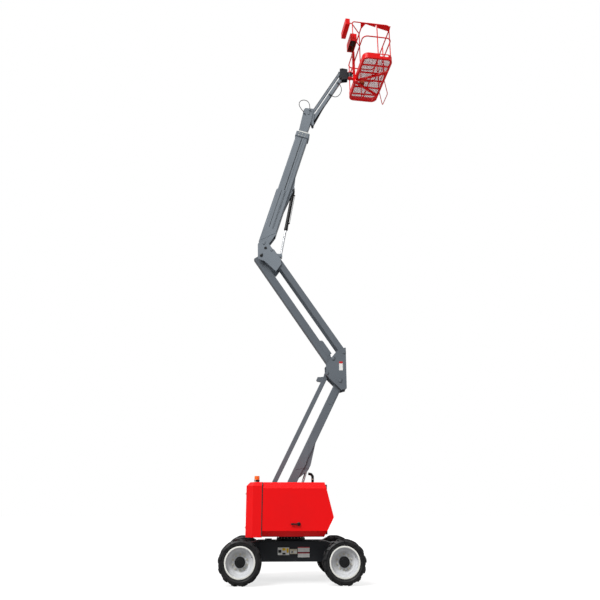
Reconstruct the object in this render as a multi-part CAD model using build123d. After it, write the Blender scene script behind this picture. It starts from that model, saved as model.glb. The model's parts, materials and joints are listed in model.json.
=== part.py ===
from build123d import *

import os
from math import atan2, cos, degrees, hypot, radians, sin, tan

# Articulating boom lift on four wheels, built as the machine is assembled: a chassis on two
# axles, a slewing upper works, two riser arms stacked by parallel links, a telescopic boom,
# a jib and a railed platform. One STEP file per sub-part goes to parts/.
#
# Millimetres. The origin is on the ground under the slewing axis, +X runs towards the side
# where the platform hangs, +Z is up and the arms move in the XZ plane. Angles are in degrees
# above +X. Each piece is drawn where it stands with the arms raised.

# ---- running gear -------------------------------------------------------------------------
WHEELBASE = 2030
TRACK = 1940
TYRE_D = 845
TYRE_W = 310
LUG_COUNT = 13
LUG_HEIGHT = 24
LUG_REACH = 66
LUG_BAR = 62
LUG_SLANT = 70
RIM_D = 600
RIM_WALL = 12
RIM_WIDTH = 240
HUB_D = 200
HUB_LENGTH = 110
DISC_INSET = 40
AXLE_Z = TYRE_D / 2
KINGPIN_Y = 745
KINGPIN_R = 25
STEER_ARM = 190
AXLE_BEAM = 130

# ---- chassis ------------------------------------------------------------------------------
CHASSIS_LOW = 392
CHASSIS_TOP = 778
CHASSIS_HALF_W = 450
CHASSIS_HALF_L = 640
NOSE_HALF_L = 1130
NOSE_HALF_W = 330
LUG_HOLE_R = 20
LUG_THICK = 20
SLEW_R = 300
SLEW_RING_H = 46
SLEW_GAP = 3

# ---- upper works --------------------------------------------------------------------------
DECK_Z = 878
DECK_PLATE = 20
COVER_LOW = 872
COVER_TOP = 1915
COVER_HALF_W = 1035
COVER_FRONT = 820
COVER_REAR = -930
COVER_WALL = 4
BEVEL = 120
HOOD_REAR = -596
HOOD_GAP = 6
TUNNEL_HALF_W = 225
TUNNEL_WALL = 10
BEACON_D = 105
EXHAUST_D = 60
EXHAUST_X = 510
EXHAUST_Y = 600
BEACON_PLACE = (-730, -500)
BEACON_STEM = 42
ENGINE = ((-300, 330, DECK_Z + DECK_PLATE), (400, 780, 1480))
TANKS = ((-420, -800, DECK_Z + DECK_PLATE), (480, -330, 1400))
LOCK_BLOCK = ((-540, -440, CHASSIS_TOP), (-400, -340, CHASSIS_TOP + 52))

# ---- arms: pin places and lengths -----------------------------------------------------------
RISER_FOOT = (-300, 1300)
RISER_ANGLE = 63.8
RISER_LENGTH = 3175
LOWER_LINK_STEP = (-295, 172)
UPPER_FOOT_STEP = (-150, 513)
UPPER_ANGLE = 123.9
UPPER_LENGTH = 3056
UPPER_LINK_STEP = (245, 146)
UPPER_TUBE_OFF = 80
BOOM_FOOT_STEP = (58, 325)
BOOM_ANGLE = 73.9
PIN_CLEAR = 0.05
SIDE_CLEAR = 3

# hollow sections: depth, width, wall, corner radius
RISER_SECTION = (190, 220, 10, 16)
LOWER_LINK_SECTION = (100, 100, 8, 10)
UPPER_SECTION = (180, 180, 9, 16)
UPPER_LINK_SECTION = (140, 40, 6, 8)
BOOM_SECTION = (320, 230, 8, 18)
INNER_SECTION = (232, 186, 8, 14)
JIB_SECTION = (90, 112, 7, 8)
JIB_LINK_SECTION = (56, 60, 6, 8)

# pins: radius
RISER_PIN = 32
LINK_PIN = 25
BOOM_PIN = 32
JIB_PIN = 20

# plate gaps: inner face and outer face, measured from the middle plane
TOWER_PLATES = (122, 165)
KNUCKLE_PLATES = (175, 195)
UPPER_LINK_Y = 145


class Arm:
    """A straight line in the XZ plane, from a start point at an angle above +X."""

    def __init__(self, start, angle):
        self.x, self.z = start
        self.angle = angle
        self.c = cos(radians(angle))
        self.s = sin(radians(angle))

    def at(self, along, off=0):
        """The point `along` the line and `off` to its left."""
        return (self.x + along * self.c - off * self.s, self.z + along * self.s + off * self.c)


def add(point, step):
    """A point moved by a step, both in XZ."""
    return (point[0] + step[0], point[1] + step[1])


def arm_between(start, end):
    """The arm from one point to another, and its length."""
    dx = end[0] - start[0]
    dz = end[1] - start[1]
    return Arm(start, degrees(atan2(dz, dx))), hypot(dx, dz)


def plate(points, low_y, high_y, radius=0):
    """A flat plate: an outline in XZ between two Y planes, its corners rounded."""
    outline = Polygon(*points, align=None)
    if radius:
        outline = fillet(outline.vertices(), radius)
    side = Plane((0, high_y, 0), x_dir=(1, 0, 0), z_dir=(0, -1, 0))
    return extrude(side * outline, amount=high_y - low_y, dir=(0, -1, 0))


def both(solid):
    """A piece and its mirror image across the middle plane."""
    return solid + mirror(solid, Plane.XZ)


def rod_y(point, radius, low_y, high_y):
    """A round bar along Y."""
    bar = Cylinder(radius, high_y - low_y, align=(Align.CENTER, Align.CENTER, Align.MIN))
    return Pos(point[0], low_y, point[1]) * Rot(-90, 0, 0) * bar


def box(low, high):
    """A box between two corners."""
    size = [h - l for l, h in zip(low, high)]
    middle = [(h + l) / 2 for l, h in zip(low, high)]
    return Pos(*middle) * Box(*size)


def round_along(arm, start, end, radius, off=0):
    """A round bar along an arm."""
    x, z = arm.at(start, off)
    plane = Plane((x, 0, z), x_dir=(0, 1, 0), z_dir=(arm.c, 0, arm.s))
    return extrude(plane * Circle(radius), amount=end - start)


def tube_along(arm, start, end, section, off=0, y=0):
    """A rectangular hollow section along an arm, its middle `off` to the left."""
    depth, width, wall, corner = section
    x, z = arm.at(start, off)
    plane = Plane((x, y, z), x_dir=(-arm.s, 0, arm.c), z_dir=(arm.c, 0, arm.s))
    ring = RectangleRounded(depth, width, corner)
    ring -= RectangleRounded(depth - 2 * wall, width - 2 * wall, corner - wall / 2)
    return extrude(plane * ring, amount=end - start)


def eye(point, hole_r, ring_r, half_w):
    """A pin boss through which a pin runs free."""
    boss = rod_y(point, ring_r, -half_w, half_w)
    return boss - rod_y(point, hole_r + PIN_CLEAR, -half_w - 1, half_w + 1)


# ---- pin places that follow from the lengths --------------------------------------------------
RISER = Arm(RISER_FOOT, RISER_ANGLE)
RISER_HEAD = RISER.at(RISER_LENGTH)
LINK_FOOT = add(RISER_FOOT, LOWER_LINK_STEP)
LINK_HEAD = add(RISER_HEAD, LOWER_LINK_STEP)
LOWER_LINK = Arm(LINK_FOOT, RISER_ANGLE)
UPPER_FOOT = add(RISER_HEAD, UPPER_FOOT_STEP)
UPPER = Arm(UPPER_FOOT, UPPER_ANGLE)
UPPER_HEAD = UPPER.at(UPPER_LENGTH)
UPPER_LINK_FOOT = add(UPPER_FOOT, UPPER_LINK_STEP)
UPPER_LINK_HEAD = add(UPPER_HEAD, UPPER_LINK_STEP)
UPPER_LINK = Arm(UPPER_LINK_FOOT, UPPER_ANGLE)
BOOM_FOOT = add(UPPER_HEAD, BOOM_FOOT_STEP)
BOOM = Arm(BOOM_FOOT, BOOM_ANGLE)

# ---- cylinders: foot pin, eye pin -------------------------------------------------------------
RISER_CYL_FOOT = add(RISER_FOOT, (250, -320))
RISER_CYL_EYE = RISER.at(1157, -160)
LUFF_PLACE = 1673
LUFF_CYL_TOP = BOOM.at(LUFF_PLACE, -262)
LUFF_CYL_EYE = add(UPPER_HEAD, (473, 62))
RISER_CYLINDER = (RISER_CYL_FOOT, RISER_CYL_EYE)
LUFF_CYLINDER = (LUFF_CYL_TOP, LUFF_CYL_EYE)
CYL_EYE_R = 40
CYL_PIN = 22
CYL_EYE_HALF_W = 44
CYL_LUG_PLATES = (50, 72)
RISER_EYE_HALF_W = 58
RISER_LUG_PLATES = (64, 84)
RISER_BORE_R = 52
RISER_ROD_R = 28
RISER_SHARE = 0.62
LUFF_BORE_R = 44
LUFF_ROD_R = 24
LUFF_SHARE = 0.60
GLAND_LENGTH = 60
GLAND_STEP = 4
PORT_BLOCK = 44

# ---- the stub that the upper arms rest on when folded: place along the lower link and reach --------
REST_AT = 3040
REST_REACH = 112

# ---- telescopic boom --------------------------------------------------------------------------
BOOM_TUBE_OFF = -35
BOOM_TUBE_START = 330
BOOM_TUBE_END = 3250
COLLAR_END = 3362
COLLAR_START = 3225
COLLAR_STEP = 20
COLLAR_WALL = 26
COLLAR_CORNER = 24
INNER_OFF = BOOM_TUBE_OFF + 22
INNER_START = 700
INNER_TUBE_END = 3700
HEAD_PLATES = (80, 93)
HEAD_START = INNER_TUBE_END - 200
HEAD_END = INNER_TUBE_END + 480
DOUBLER_START = 60
DOUBLER_END = 1600
DOUBLER_THICK = 25
SIDE_PLATE = 5
BRACKET_START = 1010
BRACKET_END = 2140
PAD_GAP = 1.5
PAD_PROUD = 45
PAD_IN = 100

# ---- jib --------------------------------------------------------------------------------------
LEVEL_PIN = BOOM.at(HEAD_END - 195, -9)
JIB_ANGLE = 60
JIB_LENGTH = 1580
JIB_FOOT = add(LEVEL_PIN, (98, -177))
JIB_LINK_STEP = (40, 300)
JIB = Arm(JIB_FOOT, JIB_ANGLE)
JIB_HEAD = JIB.at(JIB_LENGTH)
JIB_LINK = Arm(add(JIB_FOOT, JIB_LINK_STEP), JIB_ANGLE)
JIB_LINK_HEAD = add(JIB_HEAD, JIB_LINK_STEP)
JIB_CYL_FOOT = add(JIB_FOOT, (15, -135))
JIB_CYL_PLACE = 930
JIB_CYL_EYE = JIB.at(JIB_CYL_PLACE)
BELLCRANK_PLATES = (62, 76)

# ---- hoses: places along each arm and to its left, all in one plane beside the arm ----------------
HOSE_R = 9
HOSE_BLOCK = 34
HEAD_HOSE_Y = -116
HEAD_HOSE = (
    (3978, 118),
    (4060, 225),
    (4165, 315),
    (4290, 320),
    (4362, 225),
    (4345, 105),
    (4240, 30),
    (4120, -5),
)
JIB_HOSE_Y = -78
JIB_HOSE = (
    (963, 0),
    (928, -110),
    (1000, -215),
    (1130, -235),
    (1260, -205),
    (1365, -115),
    (1410, 0),
)
LINK_HOSE_ENDS = (90, 1480)
LINK_HOSE_OFF = JIB_LINK_SECTION[0] / 2 + 14

# ---- platform: sizes about the rotator's axis, heights above the floor ---------------------------
ROTATOR_X = JIB_HEAD[0] + 263
PLATFORM_YAW = 6
FLOOR_Z = JIB_HEAD[1] + 9
FLOOR_NEAR_X = 145
FLOOR_SIZE = (800, 1800)
FLOOR_MID_Y = -50
FLOOR_BEAM = 40
FLOOR_EDGE_W = 50
TOE_H = 160
TOE_PLATE = 6
MID_RAIL_H = 720
TOP_RAIL_H = 1140
RAIL_R = 16
POST_R = 14
POST_SHORT = 8
RAIL_CORNER = 150
FLOOR_LOW_X = FLOOR_NEAR_X
FLOOR_HIGH_X = FLOOR_LOW_X + FLOOR_SIZE[0]
FLOOR_LOW_Y = FLOOR_MID_Y - FLOOR_SIZE[1] / 2
FLOOR_HIGH_Y = FLOOR_MID_Y + FLOOR_SIZE[1] / 2
FLOOR_BAR_COUNT = 5
FLOOR_BAR_W = 30
MESH_DEPTH = 8
MESH_PITCH = 84
MESH_BAR = 22
GATE_WIDTH = 560
GATE_LOW_Y = FLOOR_MID_Y - 100
GATE_R = 13
GATE_SIDE_GAP = 8
STEP_DROP = 430
STEP_LEAN = 60
STEP_R = 11
MAST_W = 60
MAST_HALF_Y = 40
MAST_TOP_H = 950
PANEL_BRACKET = (150, 100)
ARM_SPREAD = 504
ARM_SECTION = (50, 50)
CLEVIS_HALF_GAP = 80
CLEVIS_PLATE = 20
DRIVE_R = 62
# the frame that stands out for the control box: corner points of its tube
STAND_CORNER = (-110, -830)
STAND_LOW_H = 700
# boxes: low and high X, low and high Y, low and high height above the floor
PANEL_BOX = (-90, FLOOR_NEAR_X - MAST_W, -550, -100, 850, 1090)
TOOL_BOX = (-300, -180, -900, -350, 1060, 1240)
BOX_WALL = 5
SWITCH_BOX = (300, 440, 90, 250, 36, 96)


def tyre_blank(crown_r):
    """A tyre's section turned about the axle, out to one crown radius."""
    half = TYRE_W / 2
    bead = RIM_D / 2 - 20
    seat_y = RIM_WIDTH / 2 - 14
    drop = TYRE_D / 2 - crown_r
    half_section = [
        # radius, distance from the tyre's middle
        (bead, seat_y),
        (RIM_D / 2 + 2, seat_y),
        (RIM_D / 2 + 40, half - drop / 2),
        (crown_r - 50, half - drop / 2),
        (crown_r, half - 35 - drop / 2),
    ]
    section = half_section + [(r, -y) for r, y in reversed(half_section)]
    return revolve(make_face(Polyline(*section, close=True)), axis=Axis.Y)


def tyre_lug():
    """One slanted lug, cut to the tyre's outer form: drawn on top of the crown."""
    outline = Polygon(
        (-LUG_BAR / 2, 6),
        (LUG_BAR / 2, 6),
        (LUG_BAR / 2 + LUG_SLANT, TYRE_W / 2 + 5),
        (-LUG_BAR / 2 + LUG_SLANT, TYRE_W / 2 + 5),
        align=None,
    )
    bar = Pos(0, 0, TYRE_D / 2 - LUG_REACH) * extrude(outline, LUG_REACH + 5)
    return bar & tyre_blank(TYRE_D / 2)


def tyre():
    """A tyre with two rows of lugs, half a pitch apart, one lug on the ground."""
    body = tyre_blank(TYRE_D / 2 - LUG_HEIGHT)
    lug = tyre_lug()
    pitch = 360 / LUG_COUNT
    lean = degrees(atan2(LUG_SLANT * 0.5, TYRE_D / 2))
    for i in range(LUG_COUNT):
        body += Rot(0, 180 - lean + i * pitch, 0) * lug
        body += Rot(0, 180 - lean + (i + 0.5) * pitch, 0) * mirror(lug, Plane.XZ)
    return body


def rim(x, side):
    """A dished wheel disc with its rim barrel, drawn for the side it is on."""
    seat = RIM_D / 2 - 20.2
    outer = RIM_D / 2
    half = RIM_WIDTH / 2
    section = [
        (HUB_D / 2 - 30, -DISC_INSET),
        (HUB_D / 2 + 60, -DISC_INSET),
        (seat - 70, 10),
        (seat - RIM_WALL, 10),
        (seat - RIM_WALL, half),
        (outer - 4, half),
        (outer - 4, half - 13.5),
        (seat, half - 13.5),
        (seat, -half + 13.5),
        (outer - 4, -half + 13.5),
        (outer - 4, -half),
        (seat - RIM_WALL, -half),
        (seat - RIM_WALL, -2),
        (seat - 66, -2),
        (HUB_D / 2 + 56, -DISC_INSET - 12),
        (HUB_D / 2 - 30, -DISC_INSET - 12),
    ]
    profile = make_face(Polyline(*section, close=True))
    disc = revolve(profile, axis=Axis.Y)
    hub = Pos(0, -DISC_INSET - 30, 0) * Rot(-90, 0, 0) * Cylinder(
        HUB_D / 2, HUB_LENGTH, align=(Align.CENTER, Align.CENTER, Align.MIN)
    )
    whole = disc + hub
    if side < 0:
        whole = mirror(whole, Plane.XZ)
    return Pos(x, side * TRACK / 2, AXLE_Z) * whole


def chassis_frame():
    """The welded chassis box with noses that narrow towards the axles."""
    half_plan = [
        (-NOSE_HALF_L, -NOSE_HALF_W),
        (-CHASSIS_HALF_L, -CHASSIS_HALF_W),
        (CHASSIS_HALF_L, -CHASSIS_HALF_W),
        (NOSE_HALF_L, -NOSE_HALF_W),
        (NOSE_HALF_L, NOSE_HALF_W),
        (CHASSIS_HALF_L, CHASSIS_HALF_W),
        (-CHASSIS_HALF_L, CHASSIS_HALF_W),
        (-NOSE_HALF_L, NOSE_HALF_W),
    ]
    body = Pos(0, 0, CHASSIS_LOW) * extrude(Polygon(*half_plan, align=None), CHASSIS_TOP - CHASSIS_LOW)
    nose_x = NOSE_HALF_L + 20
    saddle = AXLE_Z + AXLE_BEAM / 2
    for end in (-1, 1):
        cut = [
            (end * (CHASSIS_HALF_L + 160), CHASSIS_LOW - 10),
            (end * (CHASSIS_HALF_L + 160), saddle),
            (end * nose_x, saddle),
            (end * nose_x, CHASSIS_LOW - 10),
        ]
        body -= plate(cut, -CHASSIS_HALF_W - 10, CHASSIS_HALF_W + 10)
        slope = [
            (end * (CHASSIS_HALF_L + 60), CHASSIS_TOP + 10),
            (end * (CHASSIS_HALF_L + 60), CHASSIS_TOP),
            (end * nose_x, CHASSIS_TOP - 130),
            (end * nose_x, CHASSIS_TOP + 10),
        ]
        body -= plate(slope, -CHASSIS_HALF_W - 10, CHASSIS_HALF_W + 10)
        lug = plate(
            [
                (end * (NOSE_HALF_L - 5), saddle + 10),
                (end * (NOSE_HALF_L + 75), saddle + 10),
                (end * (NOSE_HALF_L + 75), saddle + 100),
                (end * (NOSE_HALF_L - 5), saddle + 100),
            ],
            NOSE_HALF_W - 90,
            NOSE_HALF_W - 90 + LUG_THICK,
        )
        lug -= rod_y((end * (NOSE_HALF_L + 38), saddle + 55), LUG_HOLE_R, 0, NOSE_HALF_W)
        body += both(lug)
    ring = Pos(0, 0, CHASSIS_TOP) * Cylinder(
        SLEW_R, SLEW_RING_H, align=(Align.CENTER, Align.CENTER, Align.MIN)
    )
    return body + ring + box(*LOCK_BLOCK)


def fixed_axle():
    """The drive axle at the platform end: a beam between two hub motors."""
    x = WHEELBASE / 2
    half = AXLE_BEAM / 2
    beam = box((x - half, -KINGPIN_Y, AXLE_Z - half), (x + half, KINGPIN_Y, AXLE_Z + half))
    motor = rod_y((x, AXLE_Z), 105, KINGPIN_Y - 10, TRACK / 2 - DISC_INSET - 70)
    return beam + both(motor)


def steer_axle():
    """The steering axle: a beam with a yoke at each end and its kingpins."""
    x = -WHEELBASE / 2
    half = AXLE_BEAM / 2
    beam = box((x - half, -KINGPIN_Y + 120, AXLE_Z - half), (x + half, KINGPIN_Y - 120, AXLE_Z + half))
    for low, high in ((AXLE_Z - 125, AXLE_Z - 92), (AXLE_Z + 92, AXLE_Z + 125)):
        ear = box((x - half, KINGPIN_Y - 130, low), (x + half, KINGPIN_Y, high))
        ear += Pos(x, KINGPIN_Y, (low + high) / 2) * Cylinder(half, high - low)
        beam += both(ear)
    web = box((x - half, KINGPIN_Y - 130, AXLE_Z - 125), (x + half, KINGPIN_Y - 100, AXLE_Z + 125))
    beam += both(web)
    pin = Pos(x, KINGPIN_Y, AXLE_Z) * Cylinder(KINGPIN_R, 250)
    return beam + both(pin)


def steer_knuckle(side):
    """A knuckle that turns on its kingpin, with its steering arm and hub motor."""
    x = -WHEELBASE / 2
    body = Pos(x, KINGPIN_Y, AXLE_Z) * Cylinder(58, 178)
    body += rod_y((x, AXLE_Z), 85, KINGPIN_Y, TRACK / 2 - DISC_INSET - 70)
    body += box((x, KINGPIN_Y - 26, AXLE_Z - 60), (x + STEER_ARM + 25, KINGPIN_Y + 26, AXLE_Z - 35))
    body -= Pos(x, KINGPIN_Y, AXLE_Z) * Cylinder(KINGPIN_R + PIN_CLEAR, 260)
    body -= Pos(x + STEER_ARM, KINGPIN_Y, AXLE_Z) * Cylinder(12 + PIN_CLEAR, 260)
    return body if side > 0 else mirror(body, Plane.XZ)


def steer_rod():
    """The bar that joins the two steering arms, with a stud at each end."""
    x = -WHEELBASE / 2 + STEER_ARM
    z = AXLE_Z - 84
    bar = rod_y((x, z), 18, -KINGPIN_Y, KINGPIN_Y)
    stud = Pos(x, KINGPIN_Y, z - 20) * Cylinder(12, 75, align=(Align.CENTER, Align.CENTER, Align.MIN))
    return bar + both(stud)


def turntable():
    """The slewing deck with its bearing ring, tunnel walls and riser tower."""
    ring_low = CHASSIS_TOP + SLEW_RING_H + SLEW_GAP
    ring = Pos(0, 0, ring_low) * Cylinder(
        SLEW_R - 45, DECK_Z - ring_low, align=(Align.CENTER, Align.CENTER, Align.MIN)
    )
    inset = COVER_WALL + 12
    deck = box(
        (COVER_REAR + 190, -COVER_HALF_W + BEVEL + inset, DECK_Z),
        (COVER_FRONT - 215, COVER_HALF_W - BEVEL - inset, DECK_Z + DECK_PLATE),
    )
    wall = box(
        (HOOD_REAR + 6, TUNNEL_HALF_W, DECK_Z + DECK_PLATE),
        (COVER_FRONT - 60, TUNNEL_HALF_W + TUNNEL_WALL, COVER_TOP - 20),
    )
    tower_outline = [
        (-720, DECK_Z + 10),
        (-700, 1480),
        (-640, 1555),
        (-540, 1560),
        (-225, 1390),
        (60, 1040),
        (90, DECK_Z + 10),
    ]
    tower = plate(tower_outline, TOWER_PLATES[0], TOWER_PLATES[1])
    frame = ring + deck + both(wall) + both(tower)
    pins = (
        (RISER_FOOT, RISER_PIN),
        (LINK_FOOT, LINK_PIN),
        (RISER_CYL_FOOT, CYL_PIN),
    )
    for point, radius in pins:
        frame += rod_y(point, radius, -TOWER_PLATES[1] - 6, TOWER_PLATES[1] + 6)
    return frame


def counterweight():
    """The cast counterweight across the rear, notched for the arms."""
    plan = [
        (COVER_REAR, -COVER_HALF_W + 170),
        (COVER_REAR + 140, -COVER_HALF_W),
        (HOOD_REAR - HOOD_GAP, -COVER_HALF_W),
        (HOOD_REAR - HOOD_GAP, COVER_HALF_W),
        (COVER_REAR + 140, COVER_HALF_W),
        (COVER_REAR, COVER_HALF_W - 170),
    ]
    body = Pos(0, 0, COVER_LOW) * extrude(Polygon(*plan, align=None), COVER_TOP - COVER_LOW)
    bevelled = body.edges().group_by(Axis.Z)[-1].filter_by(lambda e: e.center().X < HOOD_REAR - 20)
    body = chamfer(bevelled, BEVEL * 0.6)
    notch = box(
        (COVER_REAR + 180, -TUNNEL_HALF_W - TUNNEL_WALL, DECK_Z - 20),
        (HOOD_REAR + 10, TUNNEL_HALF_W + TUNNEL_WALL, COVER_TOP + 10),
    )
    under = box(
        (COVER_REAR + 180, -COVER_HALF_W + 120, COVER_LOW - 10),
        (HOOD_REAR + 10, COVER_HALF_W - 120, DECK_Z + DECK_PLATE + 1),
    )
    return body - notch - under


def hood(side):
    """One lift-up cover: a shell over a bevelled side profile, open below and inside."""
    def shell_solid(inset, base):
        low = COVER_LOW + base
        section = [
            (TUNNEL_HALF_W + TUNNEL_WALL + 4, low),
            (COVER_HALF_W - BEVEL - inset, low),
            (COVER_HALF_W - inset, low + BEVEL if not base else COVER_LOW + BEVEL + inset / 2),
            (COVER_HALF_W - inset, COVER_TOP - BEVEL - inset / 2),
            (COVER_HALF_W - BEVEL - inset / 2, COVER_TOP - inset),
            (TUNNEL_HALF_W + TUNNEL_WALL + 4, COVER_TOP - inset),
        ]
        wire = Polygon(*section, align=None)
        rear = HOOD_REAR - 3 * inset
        plane = Plane((rear, 0, 0), x_dir=(0, 1, 0), z_dir=(1, 0, 0))
        block = extrude(plane * wire, amount=COVER_FRONT - inset - rear)
        front = [
            (COVER_FRONT - 195 - inset, low - 1),
            (COVER_FRONT - inset, COVER_LOW + 370),
            (COVER_FRONT - 170 - inset, COVER_TOP - inset + 1),
            (COVER_FRONT + 60, COVER_TOP - inset + 1),
            (COVER_FRONT + 60, low - 1),
        ]
        return block - plate(front, 0, COVER_HALF_W + 50)

    shell = shell_solid(0, 0) - shell_solid(COVER_WALL, -5)
    shell -= box(
        (HOOD_REAR + 40, TUNNEL_HALF_W, COVER_LOW - 10),
        (COVER_FRONT - 230, COVER_HALF_W - BEVEL - COVER_WALL - 10, COVER_LOW + 20),
    )
    return shell if side > 0 else mirror(shell, Plane.XZ)


def engine_block():
    """The engine, as one plain block at its place."""
    return box(*ENGINE)


def tank_block():
    """Fuel and oil tank opposite the engine."""
    return box(*TANKS)


def exhaust():
    """The exhaust outlet that stands on the far cover."""
    base = Pos(EXHAUST_X, EXHAUST_Y, COVER_TOP) * Cylinder(52, 40, align=(Align.CENTER, Align.CENTER, Align.MIN))
    bends = (
        # along X from the foot, height above the cover
        (0, 30),
        (0, 190),
        (-32, 236),
        (-100, 250),
    )
    path = Polyline(*[(EXHAUST_X + step, EXHAUST_Y, COVER_TOP + height) for step, height in bends])
    pipe = sweep(Plane(path @ 0, z_dir=path % 0) * Circle(EXHAUST_D / 2), path=path, transition=Transition.RIGHT)
    return base + pipe


def beacon():
    """The flashing beacon on the counterweight."""
    x, y = BEACON_PLACE
    stem = post(x, y, COVER_TOP, COVER_TOP + BEACON_STEM, 34)
    lamp = post(x, y, COVER_TOP + BEACON_STEM, COVER_TOP + BEACON_STEM + 95, BEACON_D / 2)
    return stem + lamp


def boxed_arm(arm, length, section, pin_r, half_w, off=0, start=0, end=0):
    """A hollow arm with a pin boss at each end."""
    tube = tube_along(arm, start, length - end, section, off)
    ring = pin_r + 34
    for place in (0, length):
        point = arm.at(place)
        tube += rod_y(point, ring, -half_w, half_w)
    for place in (0, length):
        point = arm.at(place)
        tube -= rod_y(point, pin_r + PIN_CLEAR, -half_w - 1, half_w + 1)
    return tube


def lower_riser():
    """The lower riser with the bracket that its cylinder pushes."""
    half_w = RISER_SECTION[1] / 2 + 4
    arm = boxed_arm(RISER, RISER_LENGTH, RISER_SECTION, RISER_PIN, half_w, 0, 30, 60)
    bracket = [
        RISER.at(860, -90),
        RISER.at(1100, -205),
        RISER.at(1225, -205),
        RISER.at(1720, -90),
    ]
    lug = plate(bracket, RISER_LUG_PLATES[0], RISER_LUG_PLATES[1])
    lug += rod_y(RISER_CYL_EYE, CYL_EYE_R, RISER_LUG_PLATES[0], RISER_LUG_PLATES[1] + 8)
    return arm + both(lug)


def lower_link():
    """The link that keeps the middle knuckle level."""
    half_w = LOWER_LINK_SECTION[1] / 2 + 3
    link = boxed_arm(LOWER_LINK, RISER_LENGTH, LOWER_LINK_SECTION, LINK_PIN, half_w, 0, 20, 20)
    side = LOWER_LINK_SECTION[0] / 2
    rest = [
        LOWER_LINK.at(REST_AT - 70, side - 3),
        LOWER_LINK.at(REST_AT + 60, side - 3),
        LOWER_LINK.at(REST_AT + 20, side + 60),
        LOWER_LINK.at(REST_AT - 5, side + REST_REACH),
        LOWER_LINK.at(REST_AT - 75, side + REST_REACH),
        LOWER_LINK.at(REST_AT - 95, side + 80),
    ]
    return link + plate(rest, -half_w + 8, half_w - 8)


def mid_knuckle():
    """Two side plates with the pins of four arms between them."""
    inner, reach = KNUCKLE_PLATES
    steps = (
        # from the lower riser's head pin
        (143, 781),
        (41, 771),
        (-62, 706),
        (-322, 381),
        (-314, 132),
        (19, -204),
        (143, -168),
    )
    outline = [add(RISER_HEAD, step) for step in steps]
    body = both(plate(outline, inner, reach))
    back_x = RISER_HEAD[0] + 143
    body += box((back_x - 20, -inner, RISER_HEAD[1] - 149), (back_x, inner, RISER_HEAD[1] + 411))
    pins = (
        (RISER_HEAD, RISER_PIN, 58, RISER_SECTION[1] / 2 + 4 + SIDE_CLEAR),
        (LINK_HEAD, LINK_PIN, 42, LOWER_LINK_SECTION[1] / 2 + 3 + SIDE_CLEAR),
        (UPPER_FOOT, RISER_PIN, 50, UPPER_SECTION[1] / 2 + 4 + SIDE_CLEAR),
        (UPPER_LINK_FOOT, LINK_PIN, 0, 0),
    )
    for point, radius, boss, start_y in pins:
        body += rod_y(point, radius, -reach - 8, reach + 8)
        if boss:
            body += both(rod_y(point, boss, start_y, reach))
    return body


def upper_riser():
    """The upper riser, its tube set below the line between its pins."""
    half_w = UPPER_SECTION[1] / 2 + 4
    return boxed_arm(UPPER, UPPER_LENGTH, UPPER_SECTION, RISER_PIN, half_w, UPPER_TUBE_OFF, -20, -60)


def upper_link():
    """The pair of links that keep the top knuckle level."""
    whole = tube_along(UPPER_LINK, 0, UPPER_LENGTH, UPPER_LINK_SECTION, 0, UPPER_LINK_Y)
    half = UPPER_LINK_SECTION[1] / 2
    low, high = UPPER_LINK_Y - half, UPPER_LINK_Y + half
    for place in (0, UPPER_LENGTH):
        whole += rod_y(UPPER_LINK.at(place), LINK_PIN + 30, low, high)
    for place in (0, UPPER_LENGTH):
        whole -= rod_y(UPPER_LINK.at(place), LINK_PIN + PIN_CLEAR, low - 1, high + 1)
    return both(whole)


def top_knuckle():
    """The knuckle on top of the risers, which carries the boom and its cylinder's eye."""
    inner, reach = KNUCKLE_PLATES
    steps = (
        # from the upper riser's head pin
        (-89, 301),
        (-32, 390),
        (156, 342),
        (283, 169),
        (473, -79),
        (487, -213),
        (362, -402),
        (82, -136),
        (-80, -90),
    )
    outline = [add(UPPER_HEAD, step) for step in steps]
    body = both(plate(outline, inner, reach))
    pins = (
        (UPPER_HEAD, RISER_PIN, 50, UPPER_SECTION[1] / 2 + 4 + SIDE_CLEAR),
        (UPPER_LINK_HEAD, LINK_PIN, 0, 0),
        (BOOM_FOOT, BOOM_PIN, 50, BOOM_SECTION[1] / 2 + 4 + SIDE_CLEAR),
    )
    for point, radius, boss, start_y in pins:
        body += rod_y(point, radius, -reach - 8, reach + 8)
        if boss:
            body += both(rod_y(point, boss, start_y, reach))
    cross = (UPPER_HEAD[0] + 133, UPPER_HEAD[1] + 82)
    body += rod_y(cross, 28, -reach, reach)
    low = UPPER_HEAD[1] + 25
    lug = [
        (cross[0] - 20, low + 5),
        (LUFF_CYL_EYE[0] + 36, low),
        (LUFF_CYL_EYE[0] + 36, low + 76),
        (cross[0] - 20, low + 95),
    ]
    body += both(plate(lug, CYL_LUG_PLATES[0], CYL_LUG_PLATES[1], 12))
    return body


def cylinder_barrel(foot, tip, radius, share, foot_hole, half_w=CYL_EYE_HALF_W):
    """A cylinder barrel with the eye that its foot is pinned by."""
    line, length = arm_between(foot, tip)
    barrel_end = length * share
    barrel = round_along(line, CYL_EYE_R - 8, barrel_end, radius)
    barrel += round_along(line, barrel_end - GLAND_LENGTH, barrel_end, radius + GLAND_STEP)
    barrel += rod_y(foot, CYL_EYE_R, -half_w, half_w)
    barrel -= round_along(line, CYL_EYE_R + 10, barrel_end + 1, radius - 8)
    barrel -= rod_y(foot, foot_hole + PIN_CLEAR, -half_w - 1, half_w + 1)
    return barrel


def cylinder_rod(foot, tip, radius, bore, share, half_w=CYL_EYE_HALF_W):
    """A cylinder rod with its piston and its eye."""
    line, length = arm_between(foot, tip)
    piston_at = length * share - 90
    rod = round_along(line, piston_at, length, radius)
    rod += round_along(line, piston_at, piston_at + 50, bore - 8 - 1)
    rod += rod_y(tip, CYL_EYE_R, -half_w, half_w)
    return rod


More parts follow.
